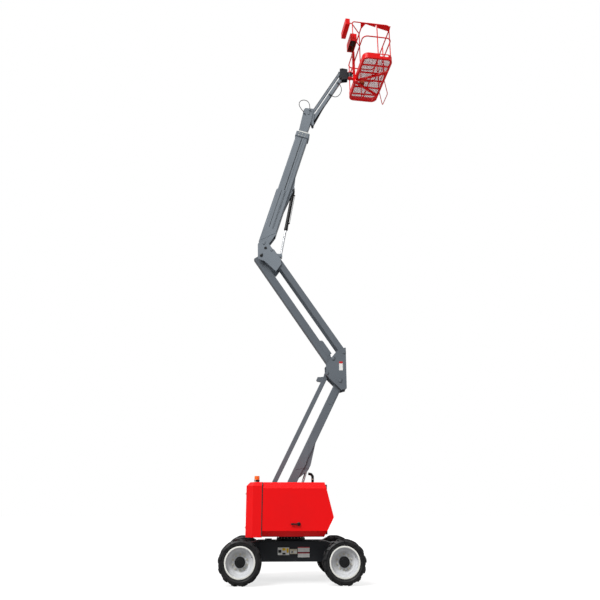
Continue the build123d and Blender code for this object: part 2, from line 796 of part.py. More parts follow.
def boom_outer():
    """The outer boom: tube, base plates, front collar and the cylinder's bracket."""
    depth, width, wall, corner = BOOM_SECTION
    half_w = width / 2
    body = tube_along(BOOM, BOOM_TUBE_START, BOOM_TUBE_END, BOOM_SECTION, BOOM_TUBE_OFF)
    top = BOOM_TUBE_OFF + depth / 2
    low = BOOM_TUBE_OFF - depth / 2
    base = [
        BOOM.at(-55, 45),
        BOOM.at(70, top),
        BOOM.at(420, top),
        BOOM.at(420, low),
        BOOM.at(330, low),
        BOOM.at(-20, -85),
        BOOM.at(-60, -30),
    ]
    cheeks = both(plate(base, half_w - 14, half_w))
    body += cheeks
    boss = rod_y(BOOM_FOOT, BOOM_PIN + 30, -half_w - 4, half_w + 4)
    body += boss
    body -= rod_y(BOOM_FOOT, BOOM_PIN + PIN_CLEAR, -half_w - 5, half_w + 5)
    collar = (depth + 2 * COLLAR_STEP, width + 2 * COLLAR_STEP, COLLAR_WALL, COLLAR_CORNER)
    body += tube_along(BOOM, COLLAR_START, COLLAR_END, collar, BOOM_TUBE_OFF)
    doubler = [
        BOOM.at(DOUBLER_START, top - 2),
        BOOM.at(DOUBLER_START, top + DOUBLER_THICK),
        BOOM.at(DOUBLER_END - 40, top + DOUBLER_THICK),
        BOOM.at(DOUBLER_END, top - 2),
    ]
    body += plate(doubler, -half_w + 12, half_w - 12)
    side = [
        BOOM.at(DOUBLER_START + 40, top - 14),
        BOOM.at(DOUBLER_END - 90, top - 14),
        BOOM.at(DOUBLER_END, BOOM_TUBE_OFF),
        BOOM.at(DOUBLER_END - 90, low + 14),
        BOOM.at(DOUBLER_START + 320, low + 14),
    ]
    body += both(plate(side, half_w - 3, half_w + SIDE_PLATE))
    bracket = [
        BOOM.at(BRACKET_START, low + 2),
        BOOM.at(LUFF_PLACE - 73, low - 62),
        BOOM.at(LUFF_PLACE + 47, low - 96),
        BOOM.at(LUFF_PLACE + 107, low - 62),
        BOOM.at(BRACKET_END, low + 2),
    ]
    lug = plate(bracket, CYL_LUG_PLATES[0], CYL_LUG_PLATES[1])
    body += both(lug)
    body += rod_y(LUFF_CYL_TOP, CYL_PIN, -CYL_LUG_PLATES[1] - 8, CYL_LUG_PLATES[1] + 8)
    return body


def wear_pads():
    """The ring of nylon pads in the collar, which the inner boom slides on."""
    depth, width = BOOM_SECTION[:2]
    x, z = BOOM.at(COLLAR_END - PAD_IN, BOOM_TUBE_OFF)
    plane = Plane((x, 0, z), x_dir=(-BOOM.s, 0, BOOM.c), z_dir=(BOOM.c, 0, BOOM.s))
    inset = 2 * COLLAR_WALL - 2 * COLLAR_STEP
    ring = RectangleRounded(depth - inset, width - inset, COLLAR_CORNER - COLLAR_WALL / 2)
    ring -= Pos(INNER_OFF - BOOM_TUBE_OFF, 0) * RectangleRounded(
        INNER_SECTION[0] + 2 * PAD_GAP, INNER_SECTION[1] + 2 * PAD_GAP, INNER_SECTION[3]
    )
    return extrude(plane * ring, amount=PAD_IN + PAD_PROUD)


def boom_inner():
    """The inner boom that slides out, with the fork of its head."""
    depth, width, wall, corner = INNER_SECTION
    top = INNER_OFF + depth / 2
    low = INNER_OFF - depth / 2
    body = tube_along(BOOM, INNER_START, INNER_TUBE_END, INNER_SECTION, INNER_OFF)
    head = [
        BOOM.at(HEAD_START, top),
        BOOM.at(HEAD_END - 105, top + 46),
        BOOM.at(HEAD_END - 40, top + 16),
        BOOM.at(HEAD_END, low + 40),
        BOOM.at(HEAD_START + 300, low - 6),
        BOOM.at(HEAD_START, low),
    ]
    cheek = plate(head, HEAD_PLATES[0], HEAD_PLATES[1])
    body += both(cheek)
    body += hose_blocks(BOOM, HEAD_HOSE, HEAD_HOSE_Y, -HEAD_PLATES[1] + 2)
    body += rod_y(LEVEL_PIN, JIB_PIN, -HEAD_PLATES[1] - 6, HEAD_PLATES[1] + 6)
    return body


def bellcrank():
    """The head casting that stays level: it carries the jib's two pivots."""
    jib_link_foot = add(JIB_FOOT, JIB_LINK_STEP)
    outline = [
        (LEVEL_PIN[0] - 38, LEVEL_PIN[1] + 10),
        (LEVEL_PIN[0] - 10, LEVEL_PIN[1] + 40),
        (jib_link_foot[0] - 10, jib_link_foot[1] + 34),
        (jib_link_foot[0] + 32, jib_link_foot[1] + 10),
        (JIB_FOOT[0] + 36, JIB_FOOT[1]),
        (JIB_CYL_FOOT[0] + 30, JIB_CYL_FOOT[1] - 10),
        (JIB_CYL_FOOT[0], JIB_CYL_FOOT[1] - 30),
        (JIB_CYL_FOOT[0] - 30, JIB_CYL_FOOT[1] - 10),
        (JIB_FOOT[0] - 42, JIB_FOOT[1]),
        (LEVEL_PIN[0] - 38, LEVEL_PIN[1] - 30),
    ]
    inner, outer = BELLCRANK_PLATES
    body = both(plate(outline, inner, outer))
    body += rod_y(LEVEL_PIN, JIB_PIN + 18, -outer, outer)
    body -= rod_y(LEVEL_PIN, JIB_PIN + PIN_CLEAR, -outer - 1, outer + 1)
    body += both(rod_y(JIB_FOOT, JIB_PIN, 32, outer))
    body += rod_y(jib_link_foot, JIB_PIN - 4, -outer, outer)
    body += rod_y(JIB_CYL_FOOT, 13, -outer, outer)
    return body


def jib_arm():
    """The jib's lower arm, open below for its cylinder."""
    depth, width, wall, corner = JIB_SECTION
    half = width / 2
    arm = tube_along(JIB, 70, JIB_LENGTH - 60, JIB_SECTION)
    far = JIB_CYL_PLACE + 80
    roof = -depth / 2 + wall + 1
    opening = [JIB.at(60, -depth), JIB.at(far, -depth), JIB.at(far, roof), JIB.at(60, roof)]
    arm -= plate(opening, -half + wall, half - wall)
    ends = (
        (0, 70, 34, half),
        (JIB_LENGTH, JIB_LENGTH - 120, 34, half),
    )
    for place, inner_place, low_y, high_y in ends:
        side = [
            JIB.at(place, depth / 2 - 4),
            JIB.at(inner_place + (60 if place == 0 else 0), depth / 2 - 4),
            JIB.at(inner_place + (60 if place == 0 else 0), -depth / 2 + 4),
            JIB.at(place, -depth / 2 + 4),
        ]
        cheek = plate(side, low_y, high_y) + rod_y(JIB.at(place), depth / 2, low_y, high_y)
        cheek -= rod_y(JIB.at(place), JIB_PIN + PIN_CLEAR, low_y - 1, high_y + 1)
        arm += both(cheek)
    arm += both(rod_y(JIB_CYL_EYE, 22, 30, half))
    return arm + hose_blocks(JIB, JIB_HOSE, JIB_HOSE_Y, -half + 2)


def jib_link():
    """The jib's upper link."""
    half_w = JIB_LINK_SECTION[1] / 2
    pin_r = JIB_PIN - 4
    body = tube_along(JIB_LINK, 15, JIB_LENGTH - 15, JIB_LINK_SECTION)
    for place in (0, JIB_LENGTH):
        body += rod_y(JIB_LINK.at(place), 30, -half_w, half_w)
    for place in (0, JIB_LENGTH):
        body -= rod_y(JIB_LINK.at(place), pin_r + PIN_CLEAR, -half_w - 1, half_w + 1)
    return body + link_blocks()


def jib_cylinder():
    """The jib cylinder: a barrel and a rod, drawn small enough to lie inside the arm."""
    line, length = arm_between(JIB_CYL_FOOT, JIB_CYL_EYE)
    barrel = round_along(line, 18, length * 0.66, 25)
    barrel += rod_y(JIB_CYL_FOOT, 27, -26, 26)
    barrel -= round_along(line, 40, length * 0.66 + 1, 20)
    barrel -= rod_y(JIB_CYL_FOOT, 13 + PIN_CLEAR, -27, 27)
    rod = round_along(line, length * 0.60, length, 13)
    rod += round_along(line, length * 0.60, length * 0.60 + 30, 19.5)
    rod += rod_y(JIB_CYL_EYE, 24, -26, 26)
    return barrel, rod


def jib_end():
    """The casting at the jib's end that stays level and carries the rotator."""
    top = JIB_LINK_HEAD
    outline = [
        (JIB_HEAD[0] - 38, JIB_HEAD[1] - 20),
        (JIB_HEAD[0] - 20, top[1] + 20),
        (top[0] + 10, top[1] + 34),
        (ROTATOR_X - 75, top[1] + 10),
        (ROTATOR_X - 75, JIB_HEAD[1] - 10),
        (JIB_HEAD[0] + 10, JIB_HEAD[1] - 38),
    ]
    inner, outer = BELLCRANK_PLATES
    body = both(plate(outline, inner, outer))
    body += rod_y(JIB_HEAD, JIB_PIN, -outer, outer)
    body += rod_y(top, JIB_PIN - 4, -outer, outer)
    middle = (JIB_HEAD[1] + top[1]) / 2
    body += box((ROTATOR_X - 90, -outer, JIB_HEAD[1] - 10), (ROTATOR_X - 72, outer, top[1] + 10))
    body += Pos(ROTATOR_X, 0, middle) * Cylinder(DRIVE_R, 2 * CLEVIS_HALF_GAP - 10)
    body += box((ROTATOR_X - 80, -40, middle - 70), (ROTATOR_X, 40, middle + 70))
    return body


def hose(arm, route, y):
    """A hose in a plane beside an arm: each bend as large as its two runs allow."""
    points = [Vector(x, y, z) for x, z in (arm.at(along, off) for along, off in route)]
    radii = []
    for before, here, after in zip(points, points[1:], points[2:]):
        run = min((here - before).length, (after - here).length)
        turn = (here - before).get_angle(after - here)
        radii.append(0.45 * run / tan(radians(turn / 2)))
    print("hose radii", [round(r) for r in radii])
    path = FilletPolyline(*points, radius=radii)
    return sweep(Plane(path @ 0, z_dir=path % 0) * Circle(HOSE_R), path=path)


def hose_blocks(arm, route, y, face_y):
    """The two fittings that a hose ends in, square to it on the near side of its arm."""
    half = HOSE_BLOCK / 2
    pairs = ((route[1], route[0]), (route[-2], route[-1]))
    blocks = []
    for beyond, end in pairs:
        along = arm_between(arm.at(*beyond), arm.at(*end))[0].angle
        line = Arm(arm.at(*end), along)
        outline = [line.at(0, -half), line.at(HOSE_BLOCK, -half), line.at(HOSE_BLOCK, half), line.at(0, half)]
        blocks.append(plate(outline, y - half, face_y))
    return blocks[0] + blocks[1]


def link_hose():
    """The hose clipped along the top of the jib's upper link."""
    return round_along(JIB_LINK, *LINK_HOSE_ENDS, HOSE_R, LINK_HOSE_OFF)


def link_blocks():
    """The two fittings at the ends of the hose on the jib's upper link."""
    near, far = LINK_HOSE_ENDS
    half = HOSE_BLOCK / 2
    low = JIB_LINK_SECTION[0] / 2 - 2
    high = LINK_HOSE_OFF + half
    body = []
    for start, end in ((near - HOSE_BLOCK, near), (far, far + HOSE_BLOCK)):
        outline = [JIB_LINK.at(start, low), JIB_LINK.at(end, low), JIB_LINK.at(end, high), JIB_LINK.at(start, high)]
        body.append(plate(outline, -half, half))
    return body[0] + body[1]


def place_platform(piece):
    """Turn a piece drawn about the rotator's axis into its place."""
    return Pos(ROTATOR_X, 0, 0) * Rot(0, 0, PLATFORM_YAW) * piece


def rotator():
    """The turning head: a clevis over and under the rotary drive, the mast and the floor's two arms."""
    middle = (JIB_HEAD[1] + JIB_LINK_HEAD[1]) / 2
    far = CLEVIS_HALF_GAP + CLEVIS_PLATE
    mast_low_x = FLOOR_LOW_X - MAST_W
    body = box((mast_low_x, -MAST_HALF_Y, FLOOR_Z - ARM_SECTION[1]), (FLOOR_LOW_X, MAST_HALF_Y, FLOOR_Z + MAST_TOP_H))
    for low in (middle - far, middle + CLEVIS_HALF_GAP):
        disc = Cylinder(DRIVE_R + 4, CLEVIS_PLATE, align=(Align.CENTER, Align.CENTER, Align.MIN))
        body += Pos(0, 0, low) * disc
        body += box((0, -MAST_HALF_Y, low), (mast_low_x, MAST_HALF_Y, low + CLEVIS_PLATE))
    bracket_z = FLOOR_Z + MAST_TOP_H - PANEL_BRACKET[1]
    body += box(
        (mast_low_x, PANEL_BOX[3] - PANEL_BRACKET[0], bracket_z),
        (mast_low_x + 12, -MAST_HALF_Y, FLOOR_Z + MAST_TOP_H),
    )
    foot = (FLOOR_LOW_X - MAST_W / 2, 0)
    for side in (-1, 1):
        end = (FLOOR_HIGH_X - FLOOR_EDGE_W / 2, side * ARM_SPREAD)
        line, length = arm_between(foot, end)
        half = ARM_SECTION[0] / 2
        plan = Polygon(line.at(0, -half), line.at(length, -half), line.at(length, half), line.at(0, half), align=None)
        body += Pos(0, 0, FLOOR_Z - ARM_SECTION[1]) * extrude(plan, ARM_SECTION[1])
    return place_platform(body)


def ring_tube(low, high, z, radius, corner):
    """A round-tube loop at one height, with rounded corners."""
    points = [(low[0], low[1], z), (high[0], low[1], z), (high[0], high[1], z), (low[0], high[1], z)]
    path = FilletPolyline(*points, radius=corner, close=True)
    return sweep(Plane(path @ 0, z_dir=path % 0) * Circle(radius), path=path)


def bent_tube(points, radius, corner):
    """A round tube through points, with its corners rounded."""
    path = FilletPolyline(*points, radius=corner)
    return sweep(Plane(path @ 0, z_dir=path % 0) * Circle(radius), path=path)


def post(x, y, low, high, radius):
    """An upright round bar."""
    return Pos(x, y, low) * Cylinder(radius, high - low, align=(Align.CENTER, Align.CENTER, Align.MIN))


def flat_plate(points, low, thick):
    """A flat plate that lies level: an outline in XY."""
    return Pos(0, 0, low) * extrude(Polygon(*points, align=None), thick)


def floor_outline(inset):
    """The floor's rounded outline, drawn in by an inset."""
    outline = RectangleRounded(FLOOR_SIZE[0] - 2 * inset, FLOOR_SIZE[1] - 2 * inset, RAIL_CORNER - inset)
    return Pos((FLOOR_LOW_X + FLOOR_HIGH_X) / 2, FLOOR_MID_Y) * outline


def basket_frame():
    """The platform's floor frame, toe boards, rails, posts, tray and step, welded as one."""
    x0, x1, y0, y1 = FLOOR_LOW_X, FLOOR_HIGH_X, FLOOR_LOW_Y, FLOOR_HIGH_Y
    middle_x = (x0 + x1) / 2
    body = Pos(0, 0, FLOOR_Z) * extrude(floor_outline(0) - floor_outline(FLOOR_EDGE_W), FLOOR_BEAM)
    toe = Pos(0, 0, FLOOR_Z + FLOOR_BEAM) * extrude(floor_outline(0) - floor_outline(TOE_PLATE), TOE_H - FLOOR_BEAM)
    toe -= box((middle_x + 50, y0 - 1, FLOOR_Z + 75), (x1 - RAIL_CORNER + 20, y0 + TOE_PLATE + 1, FLOOR_Z + 130))
    body += toe
    bar_depth = FLOOR_BEAM - MESH_DEPTH
    bar_step = FLOOR_SIZE[1] / (FLOOR_BAR_COUNT + 1)
    for i in range(FLOOR_BAR_COUNT):
        y = y0 + (i + 1) * bar_step
        body += box((x0 + 10, y - FLOOR_BAR_W / 2, FLOOR_Z), (x1 - 10, y + FLOOR_BAR_W / 2, FLOOR_Z + bar_depth))
    body += box((middle_x - 12, y0 + 10, FLOOR_Z), (middle_x + 12, y1 - 10, FLOOR_Z + bar_depth))
    r = RAIL_R
    top_z = FLOOR_Z + TOP_RAIL_H - r
    for height in (MID_RAIL_H, TOP_RAIL_H):
        body += ring_tube((x0 + r, y0 + r), (x1 - r, y1 - r), FLOOR_Z + height - r, r, RAIL_CORNER - r)
    gate_high_y = GATE_LOW_Y + GATE_WIDTH
    body -= box(
        (x1 - 2 * r - 5, GATE_LOW_Y, FLOOR_Z + TOE_H + 5),
        (x1 + 5, gate_high_y, FLOOR_Z + TOP_RAIL_H - 2 * r - 5),
    )
    posts = (
        # x, y
        (x0 + r, STAND_CORNER[1] + 298),
        (x0 + r, y1 - RAIL_CORNER - 20),
        (x1 - r, y0 + RAIL_CORNER + 20),
        (x1 - r, GATE_LOW_Y),
        (x1 - r, gate_high_y),
        (middle_x, y0 + r),
        (middle_x, y1 - r),
    )
    for x, y in posts:
        body += post(x, y, FLOOR_Z + FLOOR_BEAM - 5, top_z - POST_SHORT, POST_R)
    tray_z = top_z - r
    tray = [(x0 + r, y0 + r), (x1 - r, y0 + r), (x1 - r, y0 + r + 190)]
    gap = box((middle_x - 18, y0, tray_z - 5), (middle_x + 18, y0 + 250, tray_z + 9))
    body += flat_plate(tray, tray_z, 4) - gap
    stand = [
        (x0 + RAIL_CORNER, y0 + r, top_z),
        (STAND_CORNER[0], y0 + r, top_z),
        (STAND_CORNER[0], STAND_CORNER[1] - 20, top_z),
        (x0 + r, STAND_CORNER[1] + 298, top_z),
    ]
    body += bent_tube(stand, r - 2, 44)
    corner = (STAND_CORNER[0], STAND_CORNER[1] - 45)
    drop = [
        (corner[0], corner[1], top_z),
        (corner[0], corner[1], FLOOR_Z + STAND_LOW_H),
        (x0 + r, STAND_CORNER[1] + 298, FLOOR_Z + STAND_LOW_H),
    ]
    body += bent_tube(drop, r - 4, 50)
    gusset = [(x0 - 45, y0 + r), (x0 + r + 90, y0 + r), (x0 + r, y0 + 250)]
    body += flat_plate(gusset, tray_z + 4, 4)
    step_y = (GATE_LOW_Y + 20, gate_high_y - 40)
    low_z = FLOOR_Z - STEP_DROP
    step = [
        (x1 - STEP_R - 4, step_y[0], FLOOR_Z + 6),
        (x1 + STEP_LEAN, step_y[0], low_z),
        (x1 + STEP_LEAN, step_y[1], low_z),
        (x1 - STEP_R - 4, step_y[1], FLOOR_Z + 6),
    ]
    body += bent_tube(step, STEP_R, 50)
    return place_platform(body)


def gate():
    """The entry gate: three bars between two stiles, hung beside its post."""
    x = FLOOR_HIGH_X - RAIL_R
    low = FLOOR_Z + TOE_H + 60
    high = FLOOR_Z + MID_RAIL_H
    start = GATE_LOW_Y + RAIL_R + GATE_SIDE_GAP + GATE_R
    end = GATE_LOW_Y + GATE_WIDTH - RAIL_R - GATE_SIDE_GAP - GATE_R
    body = post(x, start, low, high, GATE_R) + post(x, end, low, high, GATE_R)
    for z in (low + 30, (low + high) / 2, high - 30):
        body += Pos(x, 0, z) * rod_y((0, 0), GATE_R - 3, start, end)
    return place_platform(body)


def basket_floor():
    """The platform's floor: a grille that drops into the frame's edge."""
    sheet = floor_outline(FLOOR_EDGE_W)
    middle_x = (FLOOR_LOW_X + FLOOR_HIGH_X) / 2
    across = int((FLOOR_SIZE[0] - 2 * FLOOR_EDGE_W - MESH_BAR) / MESH_PITCH)
    along = int((FLOOR_SIZE[1] - 2 * FLOOR_EDGE_W - MESH_BAR) / MESH_PITCH)
    hole = Rectangle(MESH_PITCH - MESH_BAR, MESH_PITCH - MESH_BAR)
    places = GridLocations(MESH_PITCH, MESH_PITCH, across, along)
    corner_x = across - 1
    corner_y = along - 1
    holes = []
    for i, place in enumerate(places):
        column, row = divmod(i, along)
        if column in (0, corner_x) and row in (0, corner_y):
            continue
        holes.append(Pos(middle_x, FLOOR_MID_Y) * place * hole)
    return place_platform(Pos(0, 0, FLOOR_Z + FLOOR_BEAM - MESH_DEPTH) * extrude(sheet - holes, MESH_DEPTH))


def open_box(sizes, wall):
    """A box open below, from its corner places about the rotator's axis."""
    low_x, high_x, low_y, high_y, low_h, high_h = sizes
    whole = box((low_x, low_y, FLOOR_Z + low_h), (high_x, high_y, FLOOR_Z + high_h))
    inside = box(
        (low_x + wall, low_y + wall, FLOOR_Z + low_h - 1),
        (high_x - wall, high_y - wall, FLOOR_Z + high_h - wall),
    )
    return whole - inside


def console():
    """The control box on its shelf: open below, its top sloped towards the rail."""
    low_x, high_x, low_y, high_y, low_h, high_h = PANEL_BOX
    body = open_box(PANEL_BOX, BOX_WALL)
    slope = Polygon((low_x - 1, high_h - 90), (low_x - 1, high_h + 1), (high_x - 50, high_h + 1), align=None)
    plane = Plane((0, low_y - 1, FLOOR_Z), x_dir=(1, 0, 0), z_dir=(0, 1, 0))
    cut = extrude(plane * mirror(slope, Plane.XZ), amount=high_y - low_y + 2)
    lid = [(low_x, high_h - 90), (high_x - 50, high_h), (high_x - 50, high_h - BOX_WALL), (low_x, high_h - 90 - BOX_WALL)]
    top = extrude(plane * mirror(Polygon(*lid, align=None), Plane.XZ), amount=high_y - low_y + 2)
    inner = box((low_x, low_y, FLOOR_Z), (high_x, high_y, FLOOR_Z + TOP_RAIL_H * 2))
    return place_platform((body - cut) + (top & inner))


def tool_box():
    """The closed box on the stand's outer side, with the arm that holds it."""
    low_x, high_x, low_y, high_y, low_h, high_h = TOOL_BOX
    body = box((low_x, low_y, FLOOR_Z + low_h), (high_x, high_y, FLOOR_Z + high_h))
    body = fillet(body.edges().filter_by(Axis.Z), 12)
    reach = STAND_CORNER[0] - RAIL_R + 2
    z = FLOOR_Z + TOP_RAIL_H - RAIL_R
    body += box((high_x, STAND_CORNER[1] - 45, z - 10), (reach, STAND_CORNER[1] - 25, z + 10))
    return place_platform(body)


def foot_switch():
    """The guarded foot switch on the floor."""
    low_x, high_x, low_y, high_y, low_h, high_h = SWITCH_BOX
    side = [(low_x, low_h), (high_x, low_h), (high_x, low_h + 25), (high_x - 60, high_h), (low_x, high_h)]
    body = plate([(x, FLOOR_Z + h + 4) for x, h in side], low_y, high_y)
    mouth = box((low_x + 45, low_y + 12, FLOOR_Z + low_h + 18), (high_x + 1, high_y - 12, FLOOR_Z + high_h - 8))
    return place_platform(body - mouth)


def make_parts():
    """Every sub-part by its node name."""
    jib_barrel, jib_rod = jib_cylinder()
    parts = {
        "chassis_frame": chassis_frame(),
        "fixed_axle": fixed_axle(),
        "steer_axle": steer_axle(),
        "steer_knuckle_left": steer_knuckle(1),
        "steer_knuckle_right": steer_knuckle(-1),
        "steer_rod": steer_rod(),
        "turntable": turntable(),
        "counterweight": counterweight(),
        "hood_left": hood(1),
        "hood_right": hood(-1),
        "engine_block": engine_block(),
        "tank_block": tank_block(),
        "exhaust": exhaust(),
        "beacon": beacon(),
        "lower_riser": lower_riser(),
        "lower_link": lower_link(),
        "mid_knuckle": mid_knuckle(),
        "upper_riser": upper_riser(),
        "upper_link": upper_link(),
        "top_knuckle": top_knuckle(),
        "riser_barrel": cylinder_barrel(*RISER_CYLINDER, RISER_BORE_R, RISER_SHARE, CYL_PIN, RISER_EYE_HALF_W),
        "riser_rod": cylinder_rod(*RISER_CYLINDER, RISER_ROD_R, RISER_BORE_R, RISER_SHARE, RISER_EYE_HALF_W),
        "boom_outer": boom_outer(),
        "wear_pads": wear_pads(),
        "boom_inner": boom_inner(),
        "luff_barrel": cylinder_barrel(*LUFF_CYLINDER, LUFF_BORE_R, LUFF_SHARE, CYL_PIN),
        "luff_rod": cylinder_rod(*LUFF_CYLINDER, LUFF_ROD_R, LUFF_BORE_R, LUFF_SHARE),
        "bellcrank": bellcrank(),
        "jib_arm": jib_arm(),
        "jib_link": jib_link(),
        "head_hose": hose(BOOM, HEAD_HOSE, HEAD_HOSE_Y),
        "jib_hose": hose(JIB, JIB_HOSE, JIB_HOSE_Y),
        "link_hose": link_hose(),
        "jib_barrel": jib_barrel,
        "jib_rod": jib_rod,
        "jib_end": jib_end(),
        "rotator": rotator(),
        "basket_frame": basket_frame(),
        "basket_floor": basket_floor(),
        "gate": gate(),
        "console": console(),
        "tool_box": tool_box(),
        "foot_switch": foot_switch(),
    }
    lugged = tyre()
    for name, x in (("rear", -WHEELBASE / 2), ("front", WHEELBASE / 2)):
        for hand, side in (("left", 1), ("right", -1)):
            parts[f"tyre_{name}_{hand}"] = Pos(x, side * TRACK / 2, AXLE_Z) * lugged
            parts[f"rim_{name}_{hand}"] = rim(x, side)
    return parts


def main():
    os.makedirs("parts", exist_ok=True)
    for name, solid in make_parts().items():
        export_step(solid, f"parts/{name}.step")


main()
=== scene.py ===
"""Looks for a self-propelled articulating boom lift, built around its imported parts. Metres."""
import json
import math

import bmesh
import bpy
from mathutils import Matrix, Vector


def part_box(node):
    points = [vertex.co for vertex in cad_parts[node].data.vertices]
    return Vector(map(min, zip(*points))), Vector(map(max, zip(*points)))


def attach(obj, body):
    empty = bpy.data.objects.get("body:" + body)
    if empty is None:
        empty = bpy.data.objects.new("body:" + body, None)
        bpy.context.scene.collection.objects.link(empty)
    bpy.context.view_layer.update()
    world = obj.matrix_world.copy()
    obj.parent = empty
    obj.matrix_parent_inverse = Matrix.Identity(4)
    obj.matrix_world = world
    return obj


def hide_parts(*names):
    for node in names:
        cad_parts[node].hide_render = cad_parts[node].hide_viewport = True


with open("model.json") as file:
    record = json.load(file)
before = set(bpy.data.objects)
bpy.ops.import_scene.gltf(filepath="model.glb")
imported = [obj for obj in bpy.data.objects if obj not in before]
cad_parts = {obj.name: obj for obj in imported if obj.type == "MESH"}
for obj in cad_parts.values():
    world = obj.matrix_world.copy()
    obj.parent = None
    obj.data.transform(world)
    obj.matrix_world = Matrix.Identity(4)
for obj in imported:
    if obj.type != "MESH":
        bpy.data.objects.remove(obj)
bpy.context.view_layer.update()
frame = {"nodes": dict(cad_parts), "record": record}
RECORD = frame["record"]
NODES = frame["nodes"]
JOINTS = RECORD["behaviour"]["joints"]
JOINT_WAY = {joint["name"]: Vector(joint["axis"]) for joint in JOINTS}
JOINT_AT = {joint["name"]: Vector(joint["pos_m"]) for joint in JOINTS if joint.get("pos_m")}

# ---- camera: eye level beside the machine, looking up along the arms --------------------------
CAMERA_AT = (-0.455, -13.868, 1.379)
CAMERA_PITCH = 18.94
CAMERA_TURN = 2.683
LENS_MM = 36.74

# ---- places that the parts share ---------------------------------------------------------------
PLATFORM_YAW = 6
BOOM_ANGLE = 73.9
JIB_ANGLE = 60
UPPER_ANGLE = 123.9
RISER_ANGLE = 63.8
WHEELS = {
    # name: middle of the wheel, the way its outer face looks along Y
    "rear_left": ((-1.015, 0.97, 0.4225), 1),
    "rear_right": ((-1.015, -0.97, 0.4225), -1),
    "front_left": ((1.015, 0.97, 0.4225), 1),
    "front_right": ((1.015, -0.97, 0.4225), -1),
}


# =================================================================================================
# Finishes
# =================================================================================================
def linear(code):
    """An sRGB hex value as a linear colour."""
    parts = [int(code[i:i + 2], 16) / 255 for i in (1, 3, 5)]
    return [p / 12.92 if p <= 0.04045 else ((p + 0.055) / 1.055) ** 2.4 for p in parts] + [1.0]


def add_node(tree, kind, inputs=None, **settings):
    """A node with its settings, its values and its links."""
    node = tree.nodes.new(kind)
    for name, value in settings.items():
        setattr(node, name, value)
    for socket, value in (inputs or {}).items():
        if isinstance(value, bpy.types.NodeSocket):
            tree.links.new(value, node.inputs[socket])
        else:
            node.inputs[socket].default_value = value
    return node


def per_metre(size_mm):
    """The noise scale whose features are about this size."""
    return 1000 / size_mm


def finish_of(name, colour, second, share, roughness, metallic=0.0, ior=1.5, coat=0.0, shine=0.5,
              patch_mm=350, grain_mm=6, grain_depth=0.0002, stretch=(1, 1, 1), low_dust=0.0):
    """A finish whose colour drifts towards a second one in patches, with a fine grain on it."""
    material = bpy.data.materials.new(name)
    material.use_nodes = True
    tree = material.node_tree
    tree.nodes.clear()
    place = add_node(tree, "ShaderNodeTexCoord").outputs["Object"]
    spread = add_node(tree, "ShaderNodeMapping", {"Vector": place, "Scale": stretch}).outputs[0]
    patches = add_node(tree, "ShaderNodeTexNoise",
                       {"Vector": spread, "Scale": per_metre(patch_mm), "Detail": 6.0, "Roughness": 0.62})
    amount = add_node(tree, "ShaderNodeMapRange",
                      {"Value": patches.outputs[0], "From Min": 0.42, "From Max": 0.74, "To Min": 0.0,
                       "To Max": share}).outputs[0]
    if low_dust:
        height = add_node(tree, "ShaderNodeSeparateXYZ", {"Vector": place}).outputs["Z"]
        settled = add_node(tree, "ShaderNodeMapRange",
                           {"Value": height, "From Min": 0.75, "From Max": 0.05, "To Min": 0.0,
                            "To Max": low_dust}).outputs[0]
        amount = add_node(tree, "ShaderNodeMath", {0: amount, 1: settled}, operation="ADD").outputs[0]
    colours = add_node(tree, "ShaderNodeMix", {0: amount, 6: linear(colour), 7: linear(second)},
                       data_type="RGBA")
    grain = add_node(tree, "ShaderNodeTexNoise",
                     {"Vector": spread, "Scale": per_metre(grain_mm), "Detail": 3.0})
    relief = add_node(tree, "ShaderNodeBump",
                      {"Height": grain.outputs[0], "Strength": 0.6, "Distance": grain_depth})
    dulled = add_node(tree, "ShaderNodeMapRange",
                      {"Value": patches.outputs[0], "To Min": roughness - 0.05, "To Max": roughness + 0.12})
    shader = add_node(tree, "ShaderNodeBsdfPrincipled",
                      {"Base Color": colours.outputs[2], "Roughness": dulled.outputs[0],
                       "Metallic": metallic, "Normal": relief.outputs[0]})
    if not metallic:
        shader.inputs["IOR"].default_value = ior
        shader.inputs["Specular IOR Level"].default_value = shine
    shader.inputs["Coat Weight"].default_value = coat
    shader.inputs["Coat Roughness"].default_value = 0.08
    add_node(tree, "ShaderNodeOutputMaterial", {"Surface": shader.outputs[0]})
    return material


